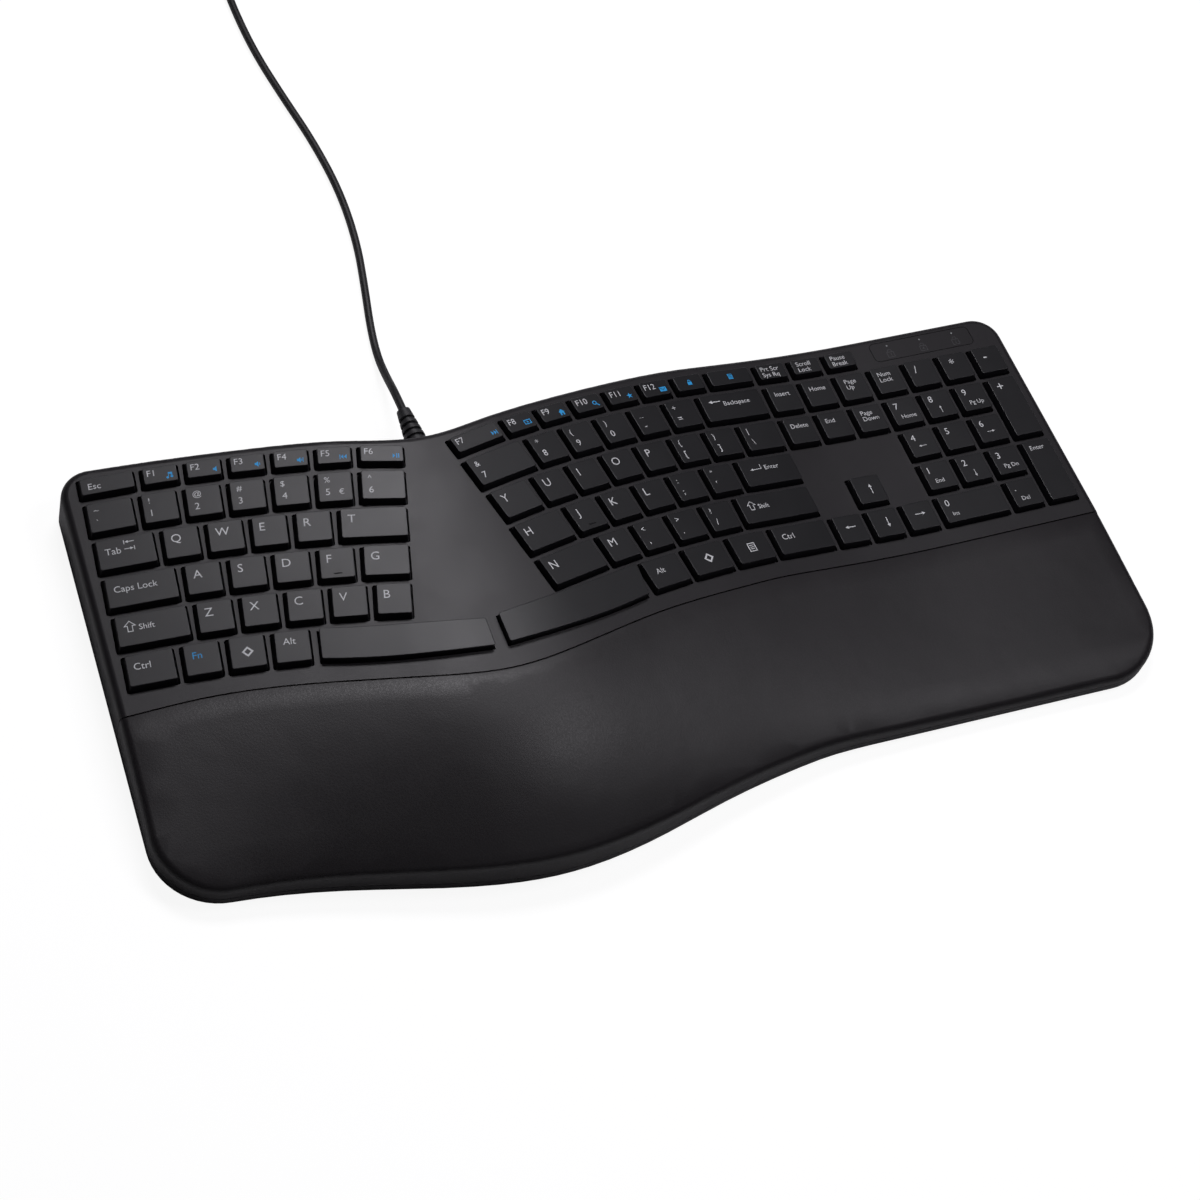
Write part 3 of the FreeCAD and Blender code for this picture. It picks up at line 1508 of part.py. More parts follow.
def rounded_route(points):
    """Straight runs joined by tangent arcs as large as the runs allow."""
    edges = []
    radii = []
    start = points[0]
    for before, corner, after in zip(points, points[1:], points[2:]):
        come = corner - before
        leave = after - corner
        turn = come.getAngle(leave)
        reach = RUN_SHARE * min(come.Length, leave.Length)
        first = corner - V(come).normalize() * reach
        last = corner + V(leave).normalize() * reach
        radius = reach / math.tan(turn / 2)
        radii.append(round(radius, 1))
        inward = V(leave).normalize() - V(come).normalize()
        rise = radius * (1 / math.cos(turn / 2) - 1)
        middle = corner + inward.normalize() * rise
        edges.append(Part.LineSegment(start, first).toShape())
        edges.append(Part.Arc(first, middle, last).toShape())
        start = last
    edges.append(Part.LineSegment(start, points[-1]).toShape())
    return Part.Wire(edges), radii


def swept_tube(wire, start, heading):
    profile = Part.Wire(Part.Circle(start, heading, cord_radius).toShape())
    return wire.makePipeShell([profile], True, False)


def cable():
    wire, radii = rounded_route(CORD_ROUTE)
    heading = CORD_ROUTE[1] - CORD_ROUTE[0]
    tube = swept_tube(wire, CORD_ROUTE[0], heading)
    plain = math.pi * cord_radius ** 2 * wire.Length
    print("cable radii", radii)
    print("cable length %.1f volume share %.4f" % (wire.Length, tube.Volume / plain))
    return tube, wire.Length


def spiral_spot(turn):
    """Place and heading on the coil's line, clockwise, after a number of turns."""
    climb_start = turns
    climb_end = turns + 0.5
    if turn <= climb_start:
        radius = outer_turn - coil_pitch * turn
        z = low_layer
        rate = -coil_pitch
    elif turn < climb_end:
        radius = inner_turn
        z = low_layer + coil_pitch * (turn - climb_start) / 0.5
        rate = 0.0
    else:
        radius = inner_turn + coil_pitch * (turn - climb_end)
        z = high_layer
        rate = coil_pitch
    if turn in (0, 2 * turns + 0.5):
        rate = 0.0
    angle = math.pi - 2 * math.pi * turn
    spot = V(coil_x + radius * math.cos(angle), coil_y + radius * math.sin(angle), z)
    swing = -2 * math.pi
    heading = V(rate * math.cos(angle) - radius * math.sin(angle) * swing,
                rate * math.sin(angle) + radius * math.cos(angle) * swing, 0)
    return spot, heading.normalize()


def half_arc(start, heading, end):
    arc, leave = tangent_arc(start, heading, end)
    return arc.toShape(), leave


def biarc(start, start_heading, end, end_heading):
    """Two arcs that meet smoothly between two places with given headings."""
    chord = end - start
    both = start_heading + end_heading
    weight = 2 * (1 - start_heading.dot(end_heading))
    if weight < 1e-9:
        reach = chord.dot(chord) / (4 * chord.dot(end_heading))
    else:
        pull = chord.dot(both)
        reach = (-pull + math.sqrt(pull ** 2 + weight * chord.dot(chord))) / weight
    joint = (start + start_heading * reach + end - end_heading * reach) * 0.5
    first, leave = half_arc(start, start_heading, joint)
    second, _ = half_arc(joint, leave, end)
    return [first, second]


def least_distance(edges):
    """The least distance between two places of a line that are far apart along it."""
    samples = []
    run = 0.0
    for edge in edges:
        count = max(2, int(edge.Length / SAMPLE_STEP))
        for i in range(count):
            share = i / count
            at = edge.FirstParameter + (edge.LastParameter - edge.FirstParameter) * share
            samples.append((run + edge.Length * share, edge.valueAt(at)))
        run += edge.Length
    least = run
    for i, (far_i, p) in enumerate(samples):
        for far_j, q in samples[i + 1:]:
            if far_j - far_i > 4 * cord_diameter:
                least = min(least, (p - q).Length)
    return least


def coil():
    """The cord wound inwards, up, and outwards again, as one tube along arcs."""
    steps = int((2 * turns + 0.5) / COIL_MARK)
    middle_of_climb = turns + 0.25
    marks = [i * COIL_MARK for i in range(steps + 1)]
    spots = [spiral_spot(mark) for mark in marks if mark != middle_of_climb]
    start, start_heading = spots[0]
    edges = [Part.LineSegment(start - start_heading * cord_diameter, start).toShape()]
    for (a, at_a), (b, at_b) in zip(spots, spots[1:]):
        edges.extend(biarc(a, at_a, b, at_b))
    end, end_heading = spots[-1]
    plug_spot = end + end_heading * size("coil_end_run")
    edges.append(Part.LineSegment(end, plug_spot).toShape())
    wire = Part.Wire(edges)
    tube = swept_tube(wire, start - start_heading * cord_diameter, start_heading)
    plain = math.pi * cord_radius ** 2 * wire.Length
    print("coil length %.1f volume share %.4f" % (wire.Length, tube.Volume / plain))
    print("coil least gap to itself %.3f" % (least_distance(edges) - cord_diameter))
    return tube, wire.Length, plug_spot


def coil_tie():
    """A flat band round one side of the coil."""
    clear = size("tie_clearance")
    band = size("tie_thickness")
    width = size("tie_width")
    inner_low = coil_y + inner_turn - cord_radius - clear - coil_pitch / 2
    inner_high = coil_y + outer_turn + cord_radius + clear
    z_low = low_layer - cord_radius - clear
    z_high = high_layer + cord_radius + clear
    outer = Part.makeBox(width, inner_high - inner_low + 2 * band, z_high - z_low + 2 * band,
                         V(coil_x - width / 2, inner_low - band, z_low - band))
    room = Part.makeBox(width + 2, inner_high - inner_low, z_high - z_low,
                        V(coil_x - width / 2 - 1, inner_low, z_low))
    along = [e for e in outer.Edges if abs(e.Vertexes[0].X - e.Vertexes[-1].X) > 1]
    return outer.makeFillet(band, along).cut(room)


def plug_parts(end):
    """The plug, its mouth pointing along -Y, standing on its narrow side."""
    x = end.x
    back = end.y
    z = end.z
    body = doc.addObject("PartDesign::Body", "plug_body")
    across = "Sizes.plug_height / 2"
    tall = "Sizes.plug_width / 2"
    corners = [("-" + across, "-" + tall), (across, "-" + tall), (across, tall), ("-" + across, tall)]
    outline = polygon_sketch(body, "plug_outline", "XZ_Plane", corners)
    block = pad(body, "plug_block", outline, "Sizes.plug_length", False)
    doc.recompute()
    rounding = body.newObject("PartDesign::Fillet", "plug_round")
    long_edges = []
    for index, edge in enumerate(block.Shape.Edges, start=1):
        a = edge.Vertexes[0].Point
        b = edge.Vertexes[-1].Point
        if abs(a.y - b.y) > 1:
            long_edges.append("Edge%d" % index)
    rounding.Base = (block, long_edges)
    rounding.setExpression("Radius", "Sizes.plug_round")
    neck = circle_sketch(body, "plug_neck_circle", "XZ_Plane", "Sizes.plug_neck_radius")
    collar = body.newObject("PartDesign::Pad", "plug_neck")
    collar.Profile = neck
    collar.Reversed = True
    collar.setExpression("Length", "Sizes.plug_neck_length")
    body.Tip = collar
    block_back = back - size("plug_neck_length")
    place(body, str(x), str(block_back), str(z))
    named(body, "usb_plug_body")
    front = block_back - size("plug_length")
    outer = box("shell_outer", "Sizes.shell_height", "Sizes.shell_length", "Sizes.shell_width",
                "%f - Sizes.shell_height / 2" % x, "%f - Sizes.shell_length" % front,
                "%f - Sizes.shell_width / 2" % z)
    room = box("shell_room", "Sizes.shell_height - 2 * Sizes.shell_wall",
               "Sizes.shell_length + 2", "Sizes.shell_width - 2 * Sizes.shell_wall",
               "%f - Sizes.shell_height / 2 + Sizes.shell_wall" % x,
               "%f - Sizes.shell_length - 1" % front,
               "%f - Sizes.shell_width / 2 + Sizes.shell_wall" % z)
    named(cut_out("shell", outer, room), "usb_plug_shell")
    fit = "Sizes.shell_wall + Sizes.tongue_fit"
    tall = "Sizes.shell_width - 2 * (%s)" % fit
    low_x = "%f - Sizes.shell_height / 2 + %s" % (x, fit)
    low_z = "%f - Sizes.shell_width / 2 + %s" % (z, fit)
    base = box("tongue_base", "Sizes.shell_height - 2 * (%s)" % fit, "Sizes.tongue_base_length",
               tall, low_x, "%f - Sizes.tongue_base_length" % front, low_z)
    tongue = box("tongue", "Sizes.tongue_height", "Sizes.shell_length - Sizes.tongue_setback",
                 tall, low_x, "%f - Sizes.shell_length + Sizes.tongue_setback" % front, low_z)
    named(fused("insulator", [base, tongue]), "usb_plug_insulator")


def build():
    add_shape("top_case", top_case())
    add_shape("bottom_case", bottom_case())
    add_shape("key_guide_frame", guide_frame())
    add_shape("dome_mat", dome_mat())
    add_shape("membrane_sheet", membrane())
    add_shape("backing_plate", backing())
    add_shape("wrist_rest_cushion", cushion())
    add_shape("wrist_rest_carrier", carrier())
    banks = {}
    counts = {}
    for key in keys:
        index = counts.get(key.node, 0)
        counts[key.node] = index + 1
        homing = (key.node, index) in HOMING_KEYS
        banks.setdefault(key.node, []).append(key_solid(key, homing))
    for node, solids in banks.items():
        add_shape(node, solids[0] if len(solids) == 1 else Part.makeCompound(solids))
    for node, bar in SPACE_BARS.items():
        add_shape(node, space_solid(bar))
    add_shape("case_screws", screws())
    add_shape("rubber_feet", feet())
    for label, (x, y) in LEG_SPOTS.items():
        tilt_leg(label, x, y)
    indicator_window()
    indicator_lamps()
    controller_board()
    strain_relief()
    tube, cable_length = cable()
    add_shape("cable", tube)
    turns_tube, coil_length, end = coil()
    add_shape("cable_coil", turns_tube)
    add_shape("cable_tie", coil_tie())
    plug_parts(end)
    print("cord length %.1f" % (cable_length + coil_length))


build()
doc.recompute()
for item in sub_parts:
    if "Invalid" in item.State or "Error" in item.State:
        raise RuntimeError(item.Label + " did not build: " + str(item.State))
    if item.Shape.isNull() or not item.Shape.isValid():
        raise RuntimeError(item.Label + " has a bad shape")
    item.Shape.exportStep("parts/" + item.Label + ".step")
    print(item.Label, len(item.Shape.Solids), round(item.Shape.Volume, 1))
print("sub-parts", len(sub_parts))
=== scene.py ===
import math

import bmesh
import bpy
import numpy as np
from mathutils import Matrix, Vector
from mathutils.bvhtree import BVHTree


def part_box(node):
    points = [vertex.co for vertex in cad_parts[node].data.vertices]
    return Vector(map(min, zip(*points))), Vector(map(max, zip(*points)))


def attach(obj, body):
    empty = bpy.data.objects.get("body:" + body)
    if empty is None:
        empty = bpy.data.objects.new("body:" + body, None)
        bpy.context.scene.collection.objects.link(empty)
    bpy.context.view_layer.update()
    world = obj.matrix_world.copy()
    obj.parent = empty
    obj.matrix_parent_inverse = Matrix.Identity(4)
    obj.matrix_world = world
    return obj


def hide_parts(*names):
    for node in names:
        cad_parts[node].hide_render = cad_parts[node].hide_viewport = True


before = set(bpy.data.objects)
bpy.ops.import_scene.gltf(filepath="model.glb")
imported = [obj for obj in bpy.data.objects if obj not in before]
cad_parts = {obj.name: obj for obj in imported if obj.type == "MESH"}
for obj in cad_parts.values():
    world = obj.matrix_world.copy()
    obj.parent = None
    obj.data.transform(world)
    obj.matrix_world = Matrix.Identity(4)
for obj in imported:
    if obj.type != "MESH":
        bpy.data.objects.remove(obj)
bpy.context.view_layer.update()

bl_info = {
    "name": "Ergonomic Keyboard",
    "version": (1, 0, 0),
    "blender": (4, 5, 0),
    "location": "View3D > Sidebar > Keyboard",
    "description": "Finishes, key legends, wrist rest and cord for a split ergonomic keyboard",
    "category": "Object",
}

MM = 0.001
HOUSING = "housing"


def mm(*values):
    """A point given in millimetres, in metres."""
    return Vector(values) * MM


# Shader building
class Value:
    """A number in a shader tree, so that Python arithmetic adds Math nodes."""

    def __init__(self, shader, socket):
        self.shader = shader
        self.socket = socket

    def combine(self, operation, first, second):
        node = self.shader.node("ShaderNodeMath", {"operation": operation}, {0: first, 1: second})
        return Value(self.shader, node.outputs[0])

    def __add__(self, other):
        return self.combine("ADD", self, other)

    __radd__ = __add__

    def __sub__(self, other):
        return self.combine("SUBTRACT", self, other)

    def __rsub__(self, other):
        return self.combine("SUBTRACT", other, self)

    def __mul__(self, other):
        return self.combine("MULTIPLY", self, other)

    __rmul__ = __mul__


class Shader:
    """A material with one principled surface, built node by node."""

    def __init__(self, name):
        self.material = bpy.data.materials.new(name)
        self.material.use_nodes = True
        self.tree = self.material.node_tree
        self.tree.nodes.clear()
        self.surface = self.tree.nodes.new("ShaderNodeBsdfPrincipled")
        self.output = self.tree.nodes.new("ShaderNodeOutputMaterial")
        self.tree.links.new(self.surface.outputs[0], self.output.inputs[0])
        self.place = self.node("ShaderNodeTexCoord", {}, {}).outputs["Object"]

    def node(self, kind, settings, inputs):
        node = self.tree.nodes.new(kind)
        for name, setting in settings.items():
            setattr(node, name, setting)
        for name, value in inputs.items():
            self.put(node.inputs[name], value)
        return node

    def put(self, socket, value):
        if isinstance(value, Value):
            value = value.socket
        if isinstance(value, bpy.types.NodeSocket):
            self.tree.links.new(value, socket)
        else:
            socket.default_value = value

    def noise(self, scale, detail=2.0, roughness=0.5, place=None):
        inputs = {"Vector": place or self.place, "Scale": scale, "Detail": detail,
                  "Roughness": roughness}
        return Value(self, self.node("ShaderNodeTexNoise", {}, inputs).outputs[0])

    def cells(self, scale, feature="F1", smooth=0.5):
        inputs = {"Vector": self.place, "Scale": scale}
        if feature == "SMOOTH_F1":
            inputs["Smoothness"] = smooth
        node = self.node("ShaderNodeTexVoronoi", {"feature": feature}, inputs)
        return Value(self, node.outputs["Distance"])

    def stretched(self, x, y, z):
        """The piece's own coordinates, stretched along each axis."""
        node = self.node("ShaderNodeMapping", {}, {"Vector": self.place, "Scale": (x, y, z)})
        return node.outputs[0]

    def facing_up(self):
        geometry = self.node("ShaderNodeNewGeometry", {}, {})
        node = self.node("ShaderNodeSeparateXYZ", {}, {"Vector": geometry.outputs["Normal"]})
        return Value(self, node.outputs[2])

    def range(self, value, low, high, out_low, out_high):
        inputs = {"Value": value, "From Min": low, "From Max": high, "To Min": out_low,
                  "To Max": out_high}
        node = self.node("ShaderNodeMapRange", {"clamp": True}, inputs)
        return Value(self, node.outputs[0])

    def mask(self, value, low, high):
        return self.range(value, low, high, 0.0, 1.0)

    def blend(self, factor, first, second):
        settings = {"data_type": "RGBA"}
        inputs = {0: factor, 6: first, 7: second}
        return self.node("ShaderNodeMix", settings, inputs).outputs[2]

    def tinted(self, mask, colour, low, high):
        """The colour, multiplied by low where the mask is 0 and by high where it is 1."""
        return self.blend(mask, scaled(colour, low), scaled(colour, high))

    def bump(self, height, strength, distance, under=None):
        inputs = {"Height": height, "Strength": strength, "Distance": distance}
        if under is not None:
            inputs["Normal"] = under
        return self.node("ShaderNodeBump", {}, inputs).outputs[0]

    def finish(self, **sockets):
        for name, value in sockets.items():
            self.put(self.surface.inputs[name.replace("_", " ")], value)
        return self.material


def rgb(red, green, blue):
    return (red, green, blue, 1.0)


def scaled(colour, factor):
    return (colour[0] * factor, colour[1] * factor, colour[2] * factor, 1.0)


def moulded_plastic(name, colour, roughness, grain=2600.0, depth=0.06, grain_height=0.00004):
    """Moulded plastic with a fine spark-eroded texture and faint handling marks."""
    shader = Shader(name)
    fine = shader.noise(grain, 3.0, 0.62)
    coarse = shader.noise(grain / 5.5, 2.0, 0.5)
    marks = shader.noise(26.0, 4.0, 0.62)
    tone = shader.mask(marks, 0.3, 0.7)
    base = shader.tinted(tone, colour, 0.94, 1.07)
    flecks = shader.mask(fine, 0.35, 0.68)
    base = shader.blend(flecks * depth * 4.0, base, scaled(colour, 1.45))
    rough = shader.range(marks, 0.25, 0.75, roughness - 0.035, roughness + 0.035)
    rough = rough + (fine - 0.5) * 0.10
    normal = shader.bump(fine + coarse * 0.6, 0.55, grain_height)
    return shader.finish(Base_Color=base, Roughness=rough, Normal=normal)


def key_plastic(name, colour, top_roughness, side_roughness):
    """Key cap plastic: satin tops with fine grain and faint random tone, and smoother sides painted
    1.5 times lighter than the tops as painted light on the side walls.
    """
    shader = Shader(name)
    fine = shader.noise(3400.0, 3.0, 0.6)
    marks = shader.noise(60.0, 4.0, 0.6)
    top = shader.mask(shader.facing_up(), 0.80, 0.97)
    tone = shader.mask(marks, 0.3, 0.7)
    top_colour = shader.tinted(tone, colour, 0.95, 1.08)
    # painted light: faces that do not point up get the colour 1.5 times lighter, standing in for
    # light falling on the key sides
    base = shader.blend(top, scaled(colour, 1.5), top_colour)
    rough = top * (top_roughness - side_roughness) + side_roughness
    rough = rough + (marks - 0.5) * 0.06 + (fine - 0.5) * 0.06
    normal = shader.bump(fine, 0.45, 0.00003)
    return shader.finish(Base_Color=base, Roughness=rough, Normal=normal)


def leatherette(name, colour, roughness):
    """Soft coated skin: small pebbled grain with painted shade in its pits, broad soft unevenness
    and a dull sheen.
    """
    shader = Shader(name)
    pebbles = shader.cells(1150.0, feature="SMOOTH_F1", smooth=0.35)
    folds = shader.noise(420.0, 3.0, 0.6)
    broad = shader.noise(17.0, 3.0, 0.5)
    tone = shader.mask(broad, 0.3, 0.7)
    base = shader.tinted(tone, colour, 0.90, 1.10)
    pits = shader.mask(pebbles, 0.25, 0.6)
    # painted shade: the pits of the grain are painted darker, towards 0.7 of the skin's colour
    base = shader.blend(pits * 0.35, base, scaled(colour, 0.7))
    rough = shader.range(broad, 0.25, 0.75, roughness - 0.04, roughness + 0.05)
    rough = rough + pits * 0.05
    soft = shader.bump(broad, 0.35, 0.0016)
    normal = shader.bump(pebbles * -1.0 + folds * 0.35, 0.24, 0.00008, soft)
    return shader.finish(Base_Color=base, Roughness=rough, Normal=normal)


def rubber(name, colour, roughness, grain=1400.0):
    shader = Shader(name)
    dust = shader.noise(grain, 4.0, 0.65)
    marks = shader.noise(90.0, 3.0, 0.55)
    tone = shader.mask(dust * 0.5 + marks * 0.5, 0.35, 0.65)
    base = shader.tinted(tone, colour, 0.9, 1.18)
    rough = shader.range(marks, 0.3, 0.7, roughness - 0.04, roughness + 0.05)
    return shader.finish(Base_Color=base, Roughness=rough, Normal=shader.bump(dust, 0.3, 0.00004))


def cord_jacket(name, colour):
    """Extruded jacket: fine marks drawn out the way that the cord mostly runs."""
    shader = Shader(name)
    drawn = shader.noise(700.0, 3.0, 0.6, shader.stretched(1.0, 0.12, 1.0))
    marks = shader.noise(120.0, 3.0, 0.6)
    tone = shader.mask(marks, 0.3, 0.7)
    base = shader.tinted(tone, colour, 0.88, 1.15)
    rough = shader.range(marks, 0.3, 0.7, 0.42, 0.52)
    return shader.finish(Base_Color=base, Roughness=rough, Normal=shader.bump(drawn, 0.25, 0.00005))


def plated_steel(name, colour, roughness, along=(1.0, 0.03, 1.0)):
    """Plated sheet with rolling marks along one axis and faint spangle."""
    shader = Shader(name)
    lines = shader.noise(2600.0, 3.0, 0.7, shader.stretched(*along))
    spangle = shader.cells(160.0)
    tone = shader.mask(lines * 0.6 + spangle * 0.5, 0.2, 0.8)
    base = shader.tinted(tone, colour, 0.86, 1.06)
    rough = shader.range(lines, 0.3, 0.7, roughness - 0.06, roughness + 0.08)
    normal = shader.bump(lines, 0.25, 0.00003)
    return shader.finish(Base_Color=base, Metallic=1.0, Roughness=rough, Normal=normal)


def circuit_board(name):
    """Green coat over copper tracks."""
    shader = Shader(name)
    spread = shader.node("ShaderNodeTexBrick", {"offset": 0.5}, {
        "Vector": shader.place, "Scale": 260.0, "Mortar Size": 0.09, "Brick Width": 1.7,
        "Row Height": 0.42, "Color1": rgb(0, 0, 0), "Color2": rgb(0, 0, 0),
        "Mortar": rgb(1, 1, 1)})
    track = Value(shader, spread.outputs["Fac"])
    grain = shader.noise(1500.0, 3.0, 0.6)
    base = shader.blend(track, rgb(0.012, 0.11, 0.045), rgb(0.03, 0.21, 0.085))
    rough = shader.range(grain, 0.3, 0.7, 0.28, 0.40)
    normal = shader.bump(track, 0.4, 0.00005)
    return shader.finish(Base_Color=base, Roughness=rough, Normal=normal)


def printed_film(name):
    """Clear film with grey printed tracks."""
    shader = Shader(name)
    wave = shader.node("ShaderNodeTexWave", {"bands_direction": "DIAGONAL"}, {
        "Vector": shader.place, "Scale": 120.0, "Distortion": 3.0, "Detail": 1.0})
    lines = shader.mask(Value(shader, wave.outputs["Fac"]), 0.80, 0.86)
    grain = shader.noise(900.0, 2.0, 0.5)
    base = shader.blend(lines, rgb(0.50, 0.56, 0.58), rgb(0.16, 0.17, 0.18))
    rough = shader.range(grain, 0.3, 0.7, 0.20, 0.34)
    return shader.finish(Base_Color=base, Roughness=rough, Normal=shader.bump(lines, 0.2, 0.00004))


def silicone(name):
    shader = Shader(name)
    cloud = shader.noise(180.0, 4.0, 0.6)
    grain = shader.noise(1600.0, 2.0, 0.5)
    tone = shader.mask(cloud, 0.3, 0.7)
    base = shader.blend(tone, rgb(0.55, 0.58, 0.60), rgb(0.70, 0.72, 0.73))
    rough = shader.range(grain, 0.3, 0.7, 0.45, 0.58)
    return shader.finish(Base_Color=base, Roughness=rough, Normal=shader.bump(grain, 0.2, 0.00004))


def smoked_panel(name, colour):
    """The lamp strip's skin: the housing's black with a finer, smoother grain."""
    shader = Shader(name)
    fine = shader.noise(3000.0, 3.0, 0.6)
    marks = shader.noise(70.0, 3.0, 0.6)
    tone = shader.mask(marks, 0.3, 0.7)
    base = shader.tinted(tone, colour, 0.95, 1.08)
    rough = shader.range(fine, 0.3, 0.7, 0.40, 0.50)
    return shader.finish(Base_Color=base, Roughness=rough, Normal=shader.bump(fine, 0.4, 0.00003))


def lamp_resin(name):
    shader = Shader(name)
    cloud = shader.noise(600.0, 3.0, 0.6)
    base = shader.blend(shader.mask(cloud, 0.3, 0.7), rgb(0.66, 0.70, 0.62),
                        rgb(0.82, 0.85, 0.78))
    rough = shader.range(cloud, 0.3, 0.7, 0.18, 0.30)
    return shader.finish(Base_Color=base, Roughness=rough, Normal=shader.bump(cloud, 0.1, 0.00005))


def ink(name, colour, roughness=0.55):
    """Printed ink: slightly uneven cover."""
    shader = Shader(name)
    cover = shader.noise(2200.0, 4.0, 0.7)
    broad = shader.noise(240.0, 2.0, 0.5)
    tone = shader.mask(cover * 0.5 + broad * 0.5, 0.32, 0.60)
    base = shader.tinted(tone, colour, 0.86, 1.04)
    rough = shader.range(broad, 0.3, 0.7, roughness - 0.05, roughness + 0.05)
    return shader.finish(Base_Color=base, Roughness=rough, Normal=shader.bump(cover, 0.2, 0.00002))


def paint(node, *materials):
    """Gives a CAD piece these materials."""
    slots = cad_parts[node].data.materials
    slots.clear()
    for material in materials:
        slots.append(material)


# Mesh helpers
def new_piece(name, vertices, faces, materials, indices=None, smooth=False):
    mesh = bpy.data.meshes.new(name)
    mesh.from_pydata(vertices, [], faces)
    for material in materials:
        mesh.materials.append(material)
    if indices is not None:
        mesh.polygons.foreach_set("material_index", indices)
    if smooth:
        mesh.polygons.foreach_set("use_smooth", [True] * len(mesh.polygons))
    mesh.update()
    piece = bpy.data.objects.new(name, mesh)
    bpy.context.collection.objects.link(piece)
    return piece


def curve_mesh(data, name):
    """The mesh that a text or a flat curve makes."""
    item = bpy.data.objects.new(name, data)
    bpy.context.collection.objects.link(item)
    graph = bpy.context.evaluated_depsgraph_get()
    mesh = bpy.data.meshes.new_from_object(item.evaluated_get(graph))
    bpy.data.objects.remove(item)
    return mesh


class Layout:
    """A geometry tree that puts copies of a shape on points, with named inputs."""

    def __init__(self, name):
        self.tree = bpy.data.node_groups.new(name, "GeometryNodeTree")
        self.socket("Geometry", "NodeSocketGeometry", "INPUT")
        self.socket("Geometry", "NodeSocketGeometry", "OUTPUT")
        self.inputs = {}

    def socket(self, name, kind, way="INPUT"):
        return self.tree.interface.new_socket(name, in_out=way, socket_type=kind)

    def input(self, name, kind):
        self.inputs[name] = self.socket(name, kind).identifier

    def node(self, kind, settings, inputs):
        node = self.tree.nodes.new(kind)
        for name, setting in settings.items():
            setattr(node, name, setting)
        for name, value in inputs.items():
            if isinstance(value, bpy.types.NodeSocket):
                self.tree.links.new(value, node.inputs[name])
            else:
                node.inputs[name].default_value = value
        return node

    def close(self, instances, material):
        real = self.node("GeometryNodeRealizeInstances", {}, {"Geometry": instances})
        painted = self.node("GeometryNodeSetMaterial", {}, {
            "Geometry": real.outputs[0], "Material": material})
        self.node("NodeGroupOutput", {}, {"Geometry": painted.outputs[0]})

    def mesh(self, carrier, values):
        """The mesh that the tree makes on an object, for these inputs."""
        modifier = carrier.modifiers.new("layout", "NODES")
        modifier.node_group = self.tree
        for name, value in values.items():
            modifier[self.inputs[name]] = value
        graph = bpy.context.evaluated_depsgraph_get()
        graph.update()
        mesh = bpy.data.meshes.new_from_object(carrier.evaluated_get(graph))
        carrier.modifiers.remove(modifier)
        return mesh


def pads_layout():
    """Round contact pads on the points of a mesh."""
    layout = Layout("contact_pads")
    layout.input("Radius", "NodeSocketFloat")
    layout.input("Thickness", "NodeSocketFloat")
    layout.input("Sides", "NodeSocketInt")
    layout.input("Material", "NodeSocketMaterial")
    given = layout.node("NodeGroupInput", {}, {})
    disc = layout.node("GeometryNodeMeshCylinder", {}, {
        "Vertices": given.outputs["Sides"], "Radius": given.outputs["Radius"],
        "Depth": given.outputs["Thickness"]})
    copies = layout.node("GeometryNodeInstanceOnPoints", {}, {
        "Points": given.outputs["Geometry"], "Instance": disc.outputs[0]})
    layout.close(copies.outputs[0], given.outputs["Material"])
    return layout


def pins_layout():
    """A row of square pins."""
    layout = Layout("pin_row")
    layout.input("Count", "NodeSocketInt")
    layout.input("Start", "NodeSocketVector")
    layout.input("Step", "NodeSocketVector")
    layout.input("Pin", "NodeSocketVector")
    layout.input("Material", "NodeSocketMaterial")
    given = layout.node("NodeGroupInput", {}, {})
    row = layout.node("GeometryNodeMeshLine", {}, {
        "Count": given.outputs["Count"], "Start Location": given.outputs["Start"],
        "Offset": given.outputs["Step"]})
    pin = layout.node("GeometryNodeMeshCube", {}, {"Size": given.outputs["Pin"]})
    copies = layout.node("GeometryNodeInstanceOnPoints", {}, {
        "Points": row.outputs[0], "Instance": pin.outputs[0]})
    layout.close(copies.outputs[0], given.outputs["Material"])
    return layout


PRINT_THICKNESS = 0.03
PRINT_LIFT = PRINT_THICKNESS / 2 + 0.004


def capital_height():
    """Height of a capital in the built-in font at size 1."""
    data = bpy.data.curves.new("capital", "FONT")
    data.body = "H"
    mesh = curve_mesh(data, "capital")
    tallest = max(vertex.co.y for vertex in mesh.vertices)
    bpy.data.meshes.remove(mesh)
    return tallest


CAPITAL = capital_height()
STROKE_OFFSET = -0.002


def shape_of(data):
    """The points and faces that a text or a flat curve makes."""
    mesh = curve_mesh(data, "shape")
    vertices = [v.co.copy() for v in mesh.vertices]
    faces = [tuple(p.vertices) for p in mesh.polygons]
    bpy.data.meshes.remove(mesh)
    return vertices, faces


def text_shape(words, capital):
    """Flat lettering whose first line's capitals stand on y 0, in millimetres."""
    data = bpy.data.curves.new("words", "FONT")
    data.body = words
    data.size = capital / CAPITAL
    data.resolution_u = 3
    data.space_line = 0.95
    data.extrude = PRINT_THICKNESS / 2
    data.offset = STROKE_OFFSET * capital
    return shape_of(data)


def plate_shape(loops):
    """A flat plate with the loops as its outlines, inner loops as holes, in millimetres."""
    data = bpy.data.curves.new("plate", "CURVE")
    data.dimensions = "2D"
    data.fill_mode = "BOTH"
    data.extrude = PRINT_THICKNESS / 2
    for loop in loops:
        spline = data.splines.new("POLY")
        spline.points.add(len(loop) - 1)
        for point, (x, y) in zip(spline.points, loop):
            point.co = (x, y, 0, 1)
        spline.use_cyclic_u = True
    return shape_of(data)


# Signs printed on the keys, each a list of outlines in a box of about one by one
def ring(x, y, radius, count=20):
    return [(x + radius * math.cos(2 * math.pi * i / count),
             y + radius * math.sin(2 * math.pi * i / count)) for i in range(count)]


def block(x_low, y_low, x_high, y_high):
    return [(x_low, y_low), (x_high, y_low), (x_high, y_high), (x_low, y_high)]


